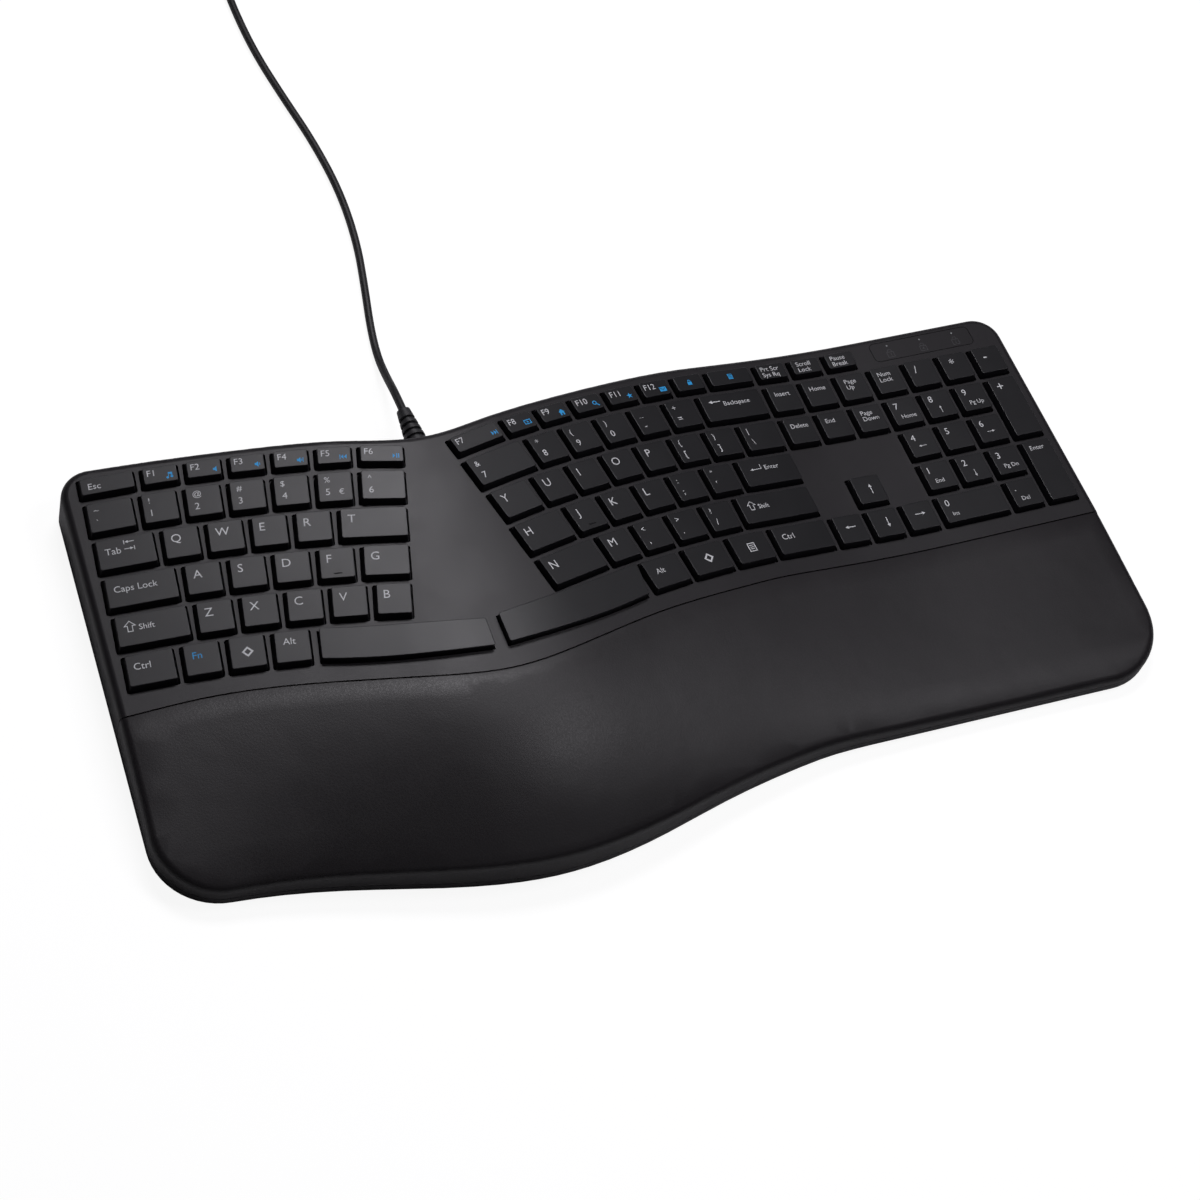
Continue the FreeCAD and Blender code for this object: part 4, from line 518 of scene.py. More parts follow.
def arrow(length=1.0, width=0.075, head=0.31):
    """An arrow along +x that starts at 0."""
    neck = length - head
    return [(0, -width / 2), (neck, -width / 2), (neck, -head / 2), (length, 0),
            (neck, head / 2), (neck, width / 2), (0, width / 2)]


def turned(loop, degrees, x=0.0, y=0.0):
    angle = math.radians(degrees)
    cos = math.cos(angle)
    sin = math.sin(angle)
    return [(px * cos - py * sin + x, px * sin + py * cos + y) for px, py in loop]


def star_outline():
    points = []
    for i in range(10):
        radius = 0.5 if i % 2 == 0 else 0.2
        angle = math.pi / 2 + i * math.pi / 5
        points.append((0.5 + radius * math.cos(angle), 0.5 + radius * math.sin(angle)))
    return points


def shift_outline():
    outer = [(0.5, 1.0), (1.0, 0.5), (0.72, 0.5), (0.72, 0.0), (0.28, 0.0), (0.28, 0.5), (0, 0.5)]
    inner = [(0.5, 0.908), (0.843, 0.565), (0.655, 0.565), (0.655, 0.065), (0.345, 0.065),
             (0.345, 0.565), (0.157, 0.565)]
    return [outer, inner]


def play_outline(x, way=1):
    return [(x, 0.15), (x + 0.34 * way, 0.5), (x, 0.85)]


def speaker_outline():
    return [(0.0, 0.33), (0.2, 0.33), (0.48, 0.08), (0.48, 0.92), (0.2, 0.67), (0.0, 0.67)]


SIGNS = {
    "left": [turned(arrow(), 180, 1.0, 0.5)],
    "right": [turned(arrow(), 0, 0.0, 0.5)],
    "up": [turned(arrow(), 90, 0.5, 0.0)],
    "down": [turned(arrow(), -90, 0.5, 1.0)],
    "shift": shift_outline(),
    "tab_back": [turned(arrow(0.86), 180, 1.0, 0.5), block(0.02, 0.28, 0.10, 0.72)],
    "tab_on": [turned(arrow(0.86), 0, 0.0, 0.5), block(0.90, 0.28, 0.98, 0.72)],
    "return": [[(0.0, 0.3), (0.32, 0.16), (0.32, 0.268), (1.3, 0.268), (1.3, 0.85),
                (1.235, 0.85), (1.235, 0.332), (0.32, 0.332), (0.32, 0.44)]],
    "diamond": [[(0.5, 1.0), (1.0, 0.5), (0.5, 0.0), (0.0, 0.5)],
                [(0.5, 0.78), (0.78, 0.5), (0.5, 0.22), (0.22, 0.5)]],
    "menu": [block(0.0, 0.0, 0.86, 1.0), block(0.09, 0.09, 0.77, 0.91)]
            + [block(0.2, y, 0.66, y + 0.08) for y in (0.66, 0.46, 0.26)],
    "note": [ring(0.18, 0.2, 0.18, 14), block(0.28, 0.25, 0.36, 1.0), ring(0.74, 0.3, 0.18, 14),
             block(0.84, 0.35, 0.92, 1.0), block(0.36, 0.84, 0.84, 1.0)],
    "speaker": [speaker_outline()],
    "speaker_low": [speaker_outline(), block(0.60, 0.30, 0.70, 0.70)],
    "speaker_high": [speaker_outline(), block(0.58, 0.32, 0.66, 0.68),
                     block(0.76, 0.16, 0.84, 0.84)],
    "previous": [block(0.0, 0.15, 0.10, 0.85), play_outline(0.50, -1), play_outline(0.92, -1)],
    "play": [play_outline(0.0), block(0.48, 0.15, 0.60, 0.85), block(0.74, 0.15, 0.86, 0.85)],
    "next": [play_outline(0.0), play_outline(0.42), block(0.82, 0.15, 0.92, 0.85)],
    "screen": [block(0.0, 0.15, 1.1, 0.9), block(0.12, 0.27, 0.98, 0.78),
               ring(0.55, 0.52, 0.14, 12)],
    "house": [[(0.5, 1.0), (1.0, 0.5), (0.84, 0.5), (0.84, 0.0), (0.60, 0.0), (0.60, 0.35),
               (0.40, 0.35), (0.40, 0.0), (0.16, 0.0), (0.16, 0.5), (0.0, 0.5)]],
    "glass": [ring(0.38, 0.62, 0.34), ring(0.38, 0.62, 0.22),
              [(0.60, 0.32), (0.90, 0.02), (1.0, 0.12), (0.70, 0.42)]],
    "star": [star_outline()],
    "letter": [block(0.0, 0.12, 1.1, 0.88),
               [(0.10, 0.78), (0.55, 0.42), (1.0, 0.78), (1.0, 0.68), (0.55, 0.32), (0.10, 0.68)]],
    "padlock": [block(0.12, 0.0, 0.88, 0.56),
                [(0.24, 0.58), (0.24, 0.80), (0.38, 0.98), (0.62, 0.98), (0.76, 0.80),
                 (0.76, 0.58), (0.64, 0.58), (0.64, 0.76), (0.56, 0.86), (0.44, 0.86),
                 (0.36, 0.76), (0.36, 0.58)]],
    "sums": [block(0.10, 0.0, 0.90, 1.0), block(0.22, 0.70, 0.78, 0.88)]
            + [block(x, y, x + 0.16, y + 0.14) for y in (0.42, 0.14) for x in (0.22, 0.42, 0.62)],
}

WHITE = 0
BLUE = 1


def words(text, across, down, capital):
    """Lettering whose top left corner is this far from the key's top left corner."""
    return ("words", text, across, down, capital, WHITE)


def sign(name, across, down, height, colour=WHITE):
    return ("sign", name, across, down, height, colour)


def middle(name, height, colour=WHITE):
    return [("middle", name, 0.0, 0.0, height, colour)]


def letters(row):
    return [[words(text, 2.8, 3.0, 3.9)] for text in row]


def pairs(row):
    """Keys with two signs each, the upper one written first."""
    return [[words(upper, 2.6, 2.2, 2.7), words(lower, 2.9, 8.1, 3.2)]
            for upper, lower in row.split()]


def functions(first, *extras):
    """Function keys from this number on, each with a second sign in its corner."""
    return [[words("F%d" % number, 1.5, 1.4, 3.0), ("corner", extra, 1.7, 1.1, 3.3, BLUE)]
            for number, extra in enumerate(extras, first)]


def small(text, across=2.7, down=3.5, capital=2.4):
    return [words(text, across, down, capital)]


def pad_key(upper, lower):
    marks = [words(upper, 2.5, 2.2, 3.4)]
    if lower in SIGNS:
        marks.append(sign(lower, 4.8, 8.2, 4.0))
    elif lower:
        marks.append(words(lower, 4.0, 9.0, 2.2))
    return marks


SPACE_BARS = ["space_bar_left", "space_bar_right"]

# What is printed on each group's keys, in rows from the back, each from left to right
PRINTS = {
    "escape_key": [[[words("Esc", 3.0, 2.9, 3.0)]]],
    "function_keys_left": [functions(1, "note", "speaker", "speaker_low", "speaker_high",
                                     "previous", "play")],
    "function_keys_right": [functions(7, "next", "screen", "house", "glass", "star", "letter")],
    "hot_keys": [[middle("padlock", 3.0, BLUE), middle("sums", 3.0, BLUE)]],
    "system_keys": [[small("Prt Scr\nSys Rq", 1.6, 1.4), small("Scroll\nLock", 2.2, 1.4),
                     small("Pause\nBreak", 2.2, 1.4)]],
    "number_keys_left": [pairs("~` !1 @2 #3 $4 %5 ^6")],
    "number_keys_right": [pairs("&7 *8 (9 )0 _- +=")],
    "backspace_key": [[[sign("left", 3.8, 3.0, 6.2), words("Backspace", 11.4, 4.3, 2.4)]]],
    "tab_key": [[[words("Tab", 3.0, 4.6, 3.1), sign("tab_back", 11.2, 1.6, 4.6),
                  sign("tab_on", 11.2, 5.0, 4.6)]]],
    "upper_letters_left": [letters("QWERT")],
    "upper_letters_right": [letters("YUIOP") + pairs("{[ }] |\\")],
    "caps_lock_key": [[[words("Caps Lock", 3.0, 4.4, 2.95)]]],
    "home_letters_left": [letters("ASDFG")],
    "home_letters_right": [letters("HJKL") + pairs(":; \"'")],
    "enter_key": [[[sign("return", 4.6, 3.2, 4.6), words("Enter", 12.4, 4.1, 2.4)]]],
    "shift_key_left": [[[sign("shift", 2.8, 2.6, 5.4), words("Shift", 9.2, 5.0, 2.6)]]],
    "lower_letters_left": [letters("ZXCVB")],
    "lower_letters_right": [letters("NM") + pairs("<, >. ?/")],
    "shift_key_right": [[[sign("shift", 3.4, 2.8, 5.0), words("Shift", 9.2, 5.2, 2.3)]]],
    "control_key_left": [[[words("Ctrl", 2.8, 4.0, 3.1)]]],
    "modifier_keys_left": [[[("words", "Fn", 3.2, 3.8, 3.2, BLUE)], middle("diamond", 5.0),
                            [words("Alt", 3.2, 3.2, 3.0)]]],
    "modifier_keys_right": [[[words("Alt", 4.4, 5.0, 2.6)], middle("diamond", 5.0),
                             middle("menu", 4.6)]],
    "control_key_right": [[[words("Ctrl", 3.6, 4.0, 2.8)]]],
    "navigation_keys": [[small("Insert"), small("Home"), small("Page\nUp", 3.2, 2.8)],
                        [small("Delete", 2.6), small("End"), small("Page\nDown", 3.2, 2.8)]],
    "arrow_keys": [[middle("up", 5.4)],
                   [middle("left", 5.4), middle("down", 5.4), middle("right", 5.4)]],
    "numpad_top_row": [[small("Num\nLock", 2.6, 2.4), [words("/", 3.4, 2.8, 4.0)],
                        [words("*", 4.4, 3.0, 4.6)], [words("-", 4.4, 2.4, 5.0)]]],
    "numpad_row_789": [[pad_key("7", "Home"), pad_key("8", "up"), pad_key("9", "Pg Up")]],
    "numpad_row_456": [[pad_key("4", "left"), pad_key("5", ""), pad_key("6", "right")]],
    "numpad_row_123": [[pad_key("1", "End"), pad_key("2", "down"), pad_key("3", "Pg Dn")]],
    "numpad_plus_key": [[[words("+", 3.2, 2.2, 4.8)]]],
    "numpad_enter_key": [[small("Enter", 2.6, 2.6)]],
    "numpad_zero_key": [[pad_key("0", "Ins")]],
    "numpad_dot_key": [[pad_key(".", "Del")]],
}
PRINTS["number_keys_left"][0][5].append(words("\u20ac", 8.6, 8.6, 2.6))


LEVEL = 0.9
PLANE_TOLERANCE = 0.00003
TURN_LIMIT = 22.0
TURN_STEP = 0.1
STEM_FOOT_DROP = 7.5
STEM_SPREAD = 4.0


def key_islands(node):
    """The separate keys of a node in the mesh's order, each a list of faces, and that mesh."""
    mesh = bmesh.new()
    mesh.from_mesh(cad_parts[node].data)
    bmesh.ops.remove_doubles(mesh, verts=mesh.verts, dist=1e-6)
    mesh.faces.ensure_lookup_table()
    left = set(mesh.faces)
    islands = []
    for first in mesh.faces:
        if first not in left:
            continue
        left.remove(first)
        island = []
        queue = [first]
        while queue:
            face = queue.pop()
            island.append(face)
            for edge in face.edges:
                for other in edge.link_faces:
                    if other in left:
                        left.remove(other)
                        queue.append(other)
        islands.append(island)
    return islands, mesh


def key_tops(node):
    """Each key's top in a node: corner, directions across and back, normal, width and depth."""
    islands, mesh = key_islands(node)
    tops = [top_of(island) for island in islands]
    mesh.free()
    return tops


def stem_places(node):
    """The middle of each guide stem's foot under a node's keys."""
    islands, mesh = key_islands(node)
    feet = []
    for island in islands:
        top = max(face.calc_center_median().z for face in island)
        for face in island:
            foot = face.calc_center_median()
            if face.normal.z > -0.999 or foot.z > top - STEM_FOOT_DROP * MM:
                continue
            near = [f for f in feet if (f[0] - foot).xy.length < STEM_SPREAD * MM]
            if near:
                near[0].append(foot)
            else:
                feet.append([foot])
    places = []
    for group in feet:
        xs = [p.x for p in group]
        ys = [p.y for p in group]
        places.append(Vector(((min(xs) + max(xs)) / 2, (min(ys) + max(ys)) / 2, group[0].z)))
    mesh.free()
    return places


def top_of(island):
    level = [face for face in island if face.normal.z > LEVEL]
    main = max(level, key=lambda face: face.calc_area())
    normal = main.normal.copy()
    height = normal.dot(main.verts[0].co)
    corners = [v.co.copy() for face in level for v in face.verts
               if abs(normal.dot(v.co) - height) < PLANE_TOLERANCE]
    across = Vector((1, 0, 0))
    across = (across - normal * across.dot(normal)).normalized()
    away = normal.cross(across)
    flat = np.array([[c.dot(across), c.dot(away)] for c in corners])
    best = None
    steps = round(TURN_LIMIT / TURN_STEP)
    for step in range(-steps, steps + 1):
        angle = math.radians(step * TURN_STEP)
        cos = math.cos(angle)
        sin = math.sin(angle)
        u = flat[:, 0] * cos + flat[:, 1] * sin
        v = flat[:, 1] * cos - flat[:, 0] * sin
        area = (u.max() - u.min()) * (v.max() - v.min())
        if best is None or area < best[0]:
            best = (area, angle, u.min(), u.max(), v.min(), v.max())
    _, angle, u_low, u_high, v_low, v_high = best
    right = across * math.cos(angle) + away * math.sin(angle)
    back = away * math.cos(angle) - across * math.sin(angle)
    corner = right * u_low + back * v_high + normal * height
    return {"corner": corner, "right": right, "back": back, "normal": normal,
            "width": (u_high - u_low) / MM, "depth": (v_high - v_low) / MM}


class Print:
    """Flat marks that are gathered and then made one piece."""

    def __init__(self):
        self.vertices = []
        self.faces = []
        self.indices = []

    def add(self, shape, place, colour):
        vertices, faces = shape
        first = len(self.vertices)
        self.vertices.extend(place(v) for v in vertices)
        self.faces.extend(tuple(first + i for i in face) for face in faces)
        self.indices.extend([colour] * len(faces))

    def piece(self, name, inks, body, slot):
        piece = new_piece(name, self.vertices, self.faces, inks, self.indices)
        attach(piece, body)


def print_marks(node, inks):
    """One printed piece for all the legends of a node."""
    tops = key_tops(node)
    rows = PRINTS[node]
    ordered = sorted(tops, key=lambda t: -t["corner"].y) if len(rows) > 1 else tops
    gathered = Print()
    start = 0
    for row in rows:
        group = ordered[start:start + len(row)] if len(rows) > 1 else ordered
        start += len(row)
        if len(group) != len(row):
            raise RuntimeError("%s has %d keys and %d legends" % (node, len(group), len(row)))
        for top, marks in zip(sorted(group, key=lambda t: t["corner"].x), row):
            for mark in marks:
                add_mark(top, mark, gathered)
    gathered.piece("legends_" + node, inks, node + "_body", "key_plastic")


def add_mark(top, mark, gathered):
    kind, what, across, down, height, colour = mark
    if kind == "words":
        shape, shape_faces = text_shape(what, height)
        low = min(v.x for v in shape)
        shift = (across - low, -down - height)
    else:
        loops = [[(x * height, y * height) for x, y in loop] for loop in SIGNS[what]]
        shape, shape_faces = plate_shape(loops)
        wide = max(v.x for v in shape)
        tall = max(v.y for v in shape)
        if kind == "sign":
            shift = (across, -down - tall)
        elif kind == "corner":
            shift = (top["width"] - across - wide, -top["depth"] + down)
        else:
            shift = ((top["width"] - wide) / 2, -(top["depth"] + tall) / 2)

    def on_key(v):
        return top["corner"] + (top["right"] * (v.x + shift[0]) + top["back"] * (v.y + shift[1])
                                + top["normal"] * (v.z + PRINT_LIFT)) * MM

    gathered.add((shape, shape_faces), on_key, colour)


# Cord: the same route as in the part's source, in millimetres
CORD_DIAMETER = 3.8
COIL_CENTRE = (-28.0, 434.0)
COIL_END_RUN = 9.5
COIL_MEAN = 22.8
COIL_PITCH = 4.4
COIL_TURNS = 4
COIL_LIFT = 0.9
COIL_STEPS = 16
LOW_LAYER = COIL_LIFT + CORD_DIAMETER / 2
OUTER_TURN = COIL_MEAN + COIL_TURNS * COIL_PITCH / 2
INNER_TURN = COIL_MEAN - COIL_TURNS * COIL_PITCH / 2


def cord_route(exit_point):
    x, y, z = exit_point
    return [
        (x, y, z),
        (x + 0.4, y + 12.0, z - 1.6),
        (-64.0, 143.0, 7.0),
        (-62.2, 158.5, 1.95),
        (-59.6, 176.0, 1.95),
        (-54.6, 198.0, 1.95),
        (-48.9, 226.0, 1.95),
        (-46.6, 258.0, 1.95),
        (-49.2, 291.0, 1.95),
        (-54.6, 322.0, 1.95),
        (-59.0, 352.0, 1.95),
        (-60.3, 381.0, 2.1),
        (COIL_CENTRE[0] - OUTER_TURN, 406.0, LOW_LAYER),
    ]


def coil_points():
    """Control points of the coil: in along the low layer, up, and out along the high one."""
    points = [(COIL_CENTRE[0] - OUTER_TURN, COIL_CENTRE[1] - CORD_DIAMETER, LOW_LAYER)]
    step_angle = 2 * math.pi / COIL_STEPS
    swell = 8 / (6 + 2 * math.cos(step_angle))
    steps = int((2 * COIL_TURNS + 0.5) * COIL_STEPS)
    for step in range(1, steps):
        turn = step / COIL_STEPS
        if turn <= COIL_TURNS:
            radius = OUTER_TURN - COIL_PITCH * turn
            z = LOW_LAYER
        elif turn < COIL_TURNS + 0.5:
            radius = INNER_TURN - COIL_PITCH * (0.25 - abs(turn - COIL_TURNS - 0.25)) * 0.6
            z = LOW_LAYER + COIL_PITCH * (turn - COIL_TURNS) / 0.5
        else:
            radius = INNER_TURN + COIL_PITCH * (turn - COIL_TURNS - 0.5)
            z = LOW_LAYER + COIL_PITCH
        angle = math.pi - step_angle * step
        points.append((COIL_CENTRE[0] + radius * swell * math.cos(angle),
                       COIL_CENTRE[1] + radius * swell * math.sin(angle), z))
    end_x = COIL_CENTRE[0] + OUTER_TURN
    points.append((end_x, COIL_CENTRE[1] + 1.0, LOW_LAYER + COIL_PITCH))
    points.append((end_x, COIL_CENTRE[1] - COIL_END_RUN, LOW_LAYER + COIL_PITCH))
    return points


def spline_length(curve):
    mesh = curve_mesh(curve, "line")
    line = [v.co.copy() for v in mesh.vertices]
    bpy.data.meshes.remove(mesh)
    return sum((b - a).length for a, b in zip(line, line[1:]))


class KeyboardFinishes(bpy.types.PropertyGroup):
    housing: bpy.props.FloatVectorProperty(
        name="Housing", description="Colour of the moulded housing", subtype="COLOR",
        default=(0.0120, 0.0102, 0.0126), min=0.0, max=1.0)
    keys: bpy.props.FloatVectorProperty(
        name="Keys", description="Colour of the key caps", subtype="COLOR",
        default=(0.0064, 0.0062, 0.0082), min=0.0, max=1.0)
    rest: bpy.props.FloatVectorProperty(
        name="Wrist rest", description="Colour of the wrist rest's skin", subtype="COLOR",
        default=(0.0136, 0.0113, 0.0136), min=0.0, max=1.0)
    legend: bpy.props.FloatVectorProperty(
        name="Legends", description="Colour of the printed legends", subtype="COLOR",
        default=(0.80, 0.81, 0.83), min=0.0, max=1.0)
    second_legend: bpy.props.FloatVectorProperty(
        name="Second legends", description="Colour of the second functions' signs",
        subtype="COLOR", default=(0.02, 0.42, 0.92), min=0.0, max=1.0)
    cord: bpy.props.FloatVectorProperty(
        name="Cord", description="Colour of the cord's jacket", subtype="COLOR",
        default=(0.020, 0.020, 0.021), min=0.0, max=1.0)


class KeyboardSizes(bpy.types.PropertyGroup):
    seam_round: bpy.props.FloatProperty(
        name="Seam rounding", description="Rounding of the wrist rest's edge along the seam",
        default=0.0006, min=0.0001, max=0.0015, unit="LENGTH")
    crease_angle: bpy.props.FloatProperty(
        name="Crease angle", description="Edges of the wrist rest that turn more stay crisp",
        default=0.61, min=0.2, max=1.2, subtype="ANGLE")


def finishes():
    return bpy.context.scene.keyboard_finishes


class KEYBOARD_OT_stage(bpy.types.Operator):
    """Pale floor, soft lamps and the camera"""
    bl_idname = "keyboard.stage"
    bl_label = "Stage"

    def execute(self, context):
        make_floor()
        make_world()
        make_lamps()
        make_camera()
        return {"FINISHED"}


class KEYBOARD_OT_cord(bpy.types.Operator):
    """Cord with its coil, tie and plug"""
    bl_idname = "keyboard.cord"
    bl_label = "Cord"

    def execute(self, context):
        make_cord()
        return {"FINISHED"}


class KEYBOARD_OT_housing(bpy.types.Operator):
    """Finishes of the housing and of what it holds"""
    bl_idname = "keyboard.housing"
    bl_label = "Housing"

    def execute(self, context):
        finish_housing()
        return {"FINISHED"}


class KEYBOARD_OT_keys(bpy.types.Operator):
    """Key caps and their printed legends"""
    bl_idname = "keyboard.keys"
    bl_label = "Keys"

    def execute(self, context):
        finish_keys()
        return {"FINISHED"}


class KEYBOARD_OT_rest(bpy.types.Operator):
    """Padded wrist rest"""
    bl_idname = "keyboard.rest"
    bl_label = "Wrist rest"

    def execute(self, context):
        make_rest()
        return {"FINISHED"}


class KEYBOARD_OT_electronics(bpy.types.Operator):
    """Contact pads on the membrane and pins on the controller board"""
    bl_idname = "keyboard.electronics"
    bl_label = "Electronics"

    def execute(self, context):
        make_contact_pads()
        make_board_pins()
        return {"FINISHED"}


class KEYBOARD_OT_lamp_signs(bpy.types.Operator):
    """Lamps and signs of the lock strip"""
    bl_idname = "keyboard.lamp_signs"
    bl_label = "Lock lamps"

    def execute(self, context):
        make_lamp_signs()
        return {"FINISHED"}


class KEYBOARD_PT_panel(bpy.types.Panel):
    """Buttons for each group of pieces"""
    bl_idname = "KEYBOARD_PT_panel"
    bl_label = "Ergonomic Keyboard"
    bl_space_type = "VIEW_3D"
    bl_region_type = "UI"
    bl_category = "Keyboard"

    def draw(self, context):
        layout = self.layout
        colours = context.scene.keyboard_finishes
        for name in ("housing", "keys", "rest", "legend", "second_legend", "cord"):
            layout.prop(colours, name)
        sizes = context.scene.keyboard_sizes
        layout.prop(sizes, "seam_round")
        layout.prop(sizes, "crease_angle")
        for operator in ORDER:
            layout.operator("keyboard." + operator)


ORDER = ["stage", "cord", "housing", "keys", "rest", "electronics", "lamp_signs"]
CLASSES = [KeyboardFinishes, KeyboardSizes, KEYBOARD_OT_stage, KEYBOARD_OT_cord,
           KEYBOARD_OT_housing, KEYBOARD_OT_keys, KEYBOARD_OT_rest, KEYBOARD_OT_electronics,
           KEYBOARD_OT_lamp_signs, KEYBOARD_PT_panel]


# Stage
CAMERA_PLACE = (-458.13, -533.96, 993.96)
CAMERA_RIGHT = (0.90642, -0.36627, 0.21036)
CAMERA_VIEW = (0.36916, 0.44497, -0.81592)
CAMERA_LENS = 81.59
CAMERA_SENSOR = 36.0


def make_camera():
    data = bpy.data.cameras.new("camera")
    data.lens = CAMERA_LENS
    data.sensor_width = CAMERA_SENSOR
    data.sensor_fit = "HORIZONTAL"
    data.clip_start = 0.05
    data.clip_end = 30.0
    camera = bpy.data.objects.new("camera", data)
    bpy.context.collection.objects.link(camera)
    right = Vector(CAMERA_RIGHT).normalized()
    back = -Vector(CAMERA_VIEW)
    back = (back - right * back.dot(right)).normalized()
    up = back.cross(right)
    turn = Matrix((right, up, back)).transposed().to_4x4()
    camera.matrix_world = Matrix.Translation(mm(*CAMERA_PLACE)) @ turn
    bpy.context.scene.camera = camera


FLOOR_REACH = 6.0
FLOOR_LEVEL = -0.0002
FLOOR_GLOW = 1.23
FLOOR_GLOW_SHARE = 0.74
WORLD_STRENGTH = 0.02


def make_floor():
    shader = Shader("floor_paper")
    tree = shader.tree
    mottle = shader.noise(40.0, 3.0, 0.5)
    base = shader.blend(mottle, rgb(0.86, 0.86, 0.86), rgb(0.89, 0.89, 0.89))
    shader.finish(Base_Color=base, Roughness=0.9)
    path = shader.node("ShaderNodeLightPath", {}, {})
    seen = Value(shader, path.outputs["Is Camera Ray"])
    white = shader.node("ShaderNodeEmission", {}, {"Color": rgb(1, 1, 1), "Strength": FLOOR_GLOW})
    mixed = shader.node("ShaderNodeMixShader", {}, {
        0: seen * FLOOR_GLOW_SHARE, 1: shader.surface.outputs[0], 2: white.outputs[0]})
    tree.links.new(mixed.outputs[0], shader.output.inputs[0])
    corners = [(x * FLOOR_REACH, y * FLOOR_REACH, FLOOR_LEVEL)
               for x, y in ((-1, -1), (1, -1), (1, 1), (-1, 1))]
    floor = new_piece("floor", corners, [(0, 1, 2, 3)], [shader.material])


def make_world():
    world = bpy.data.worlds.new("studio")
    bpy.context.scene.world = world
    world.use_nodes = True
    nodes = world.node_tree.nodes
    links = world.node_tree.links
    background = nodes["Background"]
    background.inputs["Color"].default_value = rgb(0.92, 0.95, 1.0)
    background.inputs["Strength"].default_value = WORLD_STRENGTH
    camera_white = nodes.new("ShaderNodeBackground")
    camera_white.inputs["Strength"].default_value = 1.0
    light_path = nodes.new("ShaderNodeLightPath")
    mix = nodes.new("ShaderNodeMixShader")
    links.new(light_path.outputs["Is Camera Ray"], mix.inputs[0])
    links.new(background.outputs[0], mix.inputs[1])
    links.new(camera_white.outputs[0], mix.inputs[2])
    links.new(mix.outputs[0], nodes["World Output"].inputs[0])


# Lamps: name, place, what it points at, width, height, power in watts
LAMPS = [
    ("back_softbox", (0.14, 0.68, 1.13), (0.0, 0.0, 0.02), 0.50, 0.28, 6.6),
    ("top_softbox", (0.42, -0.05, 0.90), (0.0, 0.0, 0.02), 0.28, 0.28, 1.95),
    ("front_fill", (0.10, -1.30, 1.30), (0.0, 0.0, 0.0), 1.0, 0.8, 0.5),
]
LAMP_COLOUR = (0.975, 0.955, 1.0)


def make_lamps():
    for name, place, target, width, height, power in LAMPS:
        data = bpy.data.lights.new(name, "AREA")
        data.shape = "RECTANGLE"
        data.size = width
        data.size_y = height
        data.energy = power
        data.color = LAMP_COLOUR
        lamp = bpy.data.objects.new(name, data)
        bpy.context.collection.objects.link(lamp)
        lamp.location = place
        aim = Vector(target) - Vector(place)
        lamp.rotation_euler = aim.to_track_quat("-Z", "Y").to_euler()


def make_cord():
    low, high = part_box("cable_strain_relief")
    exit_point = ((low[0] + high[0]) / 2, high[1], (low[2] + high[2]) / 2)
    exit_mm = tuple(value / MM for value in exit_point)
    points = cord_route(exit_mm) + coil_points()
    curve = bpy.data.curves.new("cord", "CURVE")
    curve.dimensions = "3D"
    curve.resolution_u = 6
    curve.fill_mode = "FULL"
    spline = curve.splines.new("NURBS")
    spline.points.add(len(points) - 1)
    for point, place in zip(spline.points, points):
        point.co = (place[0] * MM, place[1] * MM, place[2] * MM, 1)
    spline.order_u = 3
    spline.use_endpoint_u = True
    length = spline_length(curve)
    print("cord line %.4f m" % length)
    curve.bevel_depth = CORD_DIAMETER / 2 * MM
    curve.bevel_resolution = 5
    curve.use_fill_caps = True
    curve.materials.append(cord_jacket("cord_jacket", finishes().cord))
    cord = bpy.data.objects.new("cord", curve)
    bpy.context.collection.objects.link(cord)
    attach(cord, HOUSING)
    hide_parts("cable", "cable_coil")


def finish_housing():
    colours = finishes()
    case = moulded_plastic("case_plastic", colours.housing, 0.46)
    for node in ("top_case", "bottom_case", "tilt_leg_left", "tilt_leg_right"):
        paint(node, case)
    inner = moulded_plastic("inner_plastic", (0.05, 0.05, 0.055), 0.5, 1500.0)
    paint("key_guide_frame", inner)
    paint("wrist_rest_carrier", inner)
    paint("dome_mat", silicone("silicone_mat"))
    paint("membrane_sheet", printed_film("membrane_film"))
    paint("backing_plate", plated_steel("backing_steel", (0.55, 0.56, 0.58), 0.34))
    paint("controller_board", circuit_board("board_coat"))
    paint("indicator_window", smoked_panel("lamp_strip_skin", colours.housing))
    paint("indicator_lamps", lamp_resin("lamp_resin"))
    paint("case_screws", plated_steel("screw_zinc", (0.42, 0.42, 0.44), 0.36, (1.0, 1.0, 0.2)))
    paint("rubber_feet", rubber("foot_rubber", (0.035, 0.035, 0.036), 0.72))
    relief = rubber("relief_rubber", (0.026, 0.026, 0.028), 0.5)
    for node in ("cable_strain_relief", "cable_tie", "usb_plug_body"):
        paint(node, relief)
    paint("usb_plug_shell", plated_steel("plug_nickel", (0.74, 0.73, 0.71), 0.24, (1.0, 1.0, 0.05)))
    paint("usb_plug_insulator", smoked_panel("plug_nylon", (0.02, 0.02, 0.022)))


def finish_keys():
    colours = finishes()
    caps = key_plastic("key_plastic", colours.keys, 0.42, 0.32)
    inks = [ink("legend_ink", colours.legend), ink("second_ink", colours.second_legend)]
    for node in PRINTS:
        paint(node, caps)
        print_marks(node, inks)
    for node in SPACE_BARS:
        paint(node, caps)


WALL_LEAN = 0.3
WALL_BACKWARD = 0.5


def on_seam_lip(edge):
    """The edge where the rest's top turns down into the seam along the key field."""
    if len(edge.link_faces) != 2:
        return False
    top, wall = sorted((face.normal for face in edge.link_faces), key=lambda n: -n.z)
    return top.z > LEVEL and abs(wall.z) < WALL_LEAN and wall.y > WALL_BACKWARD


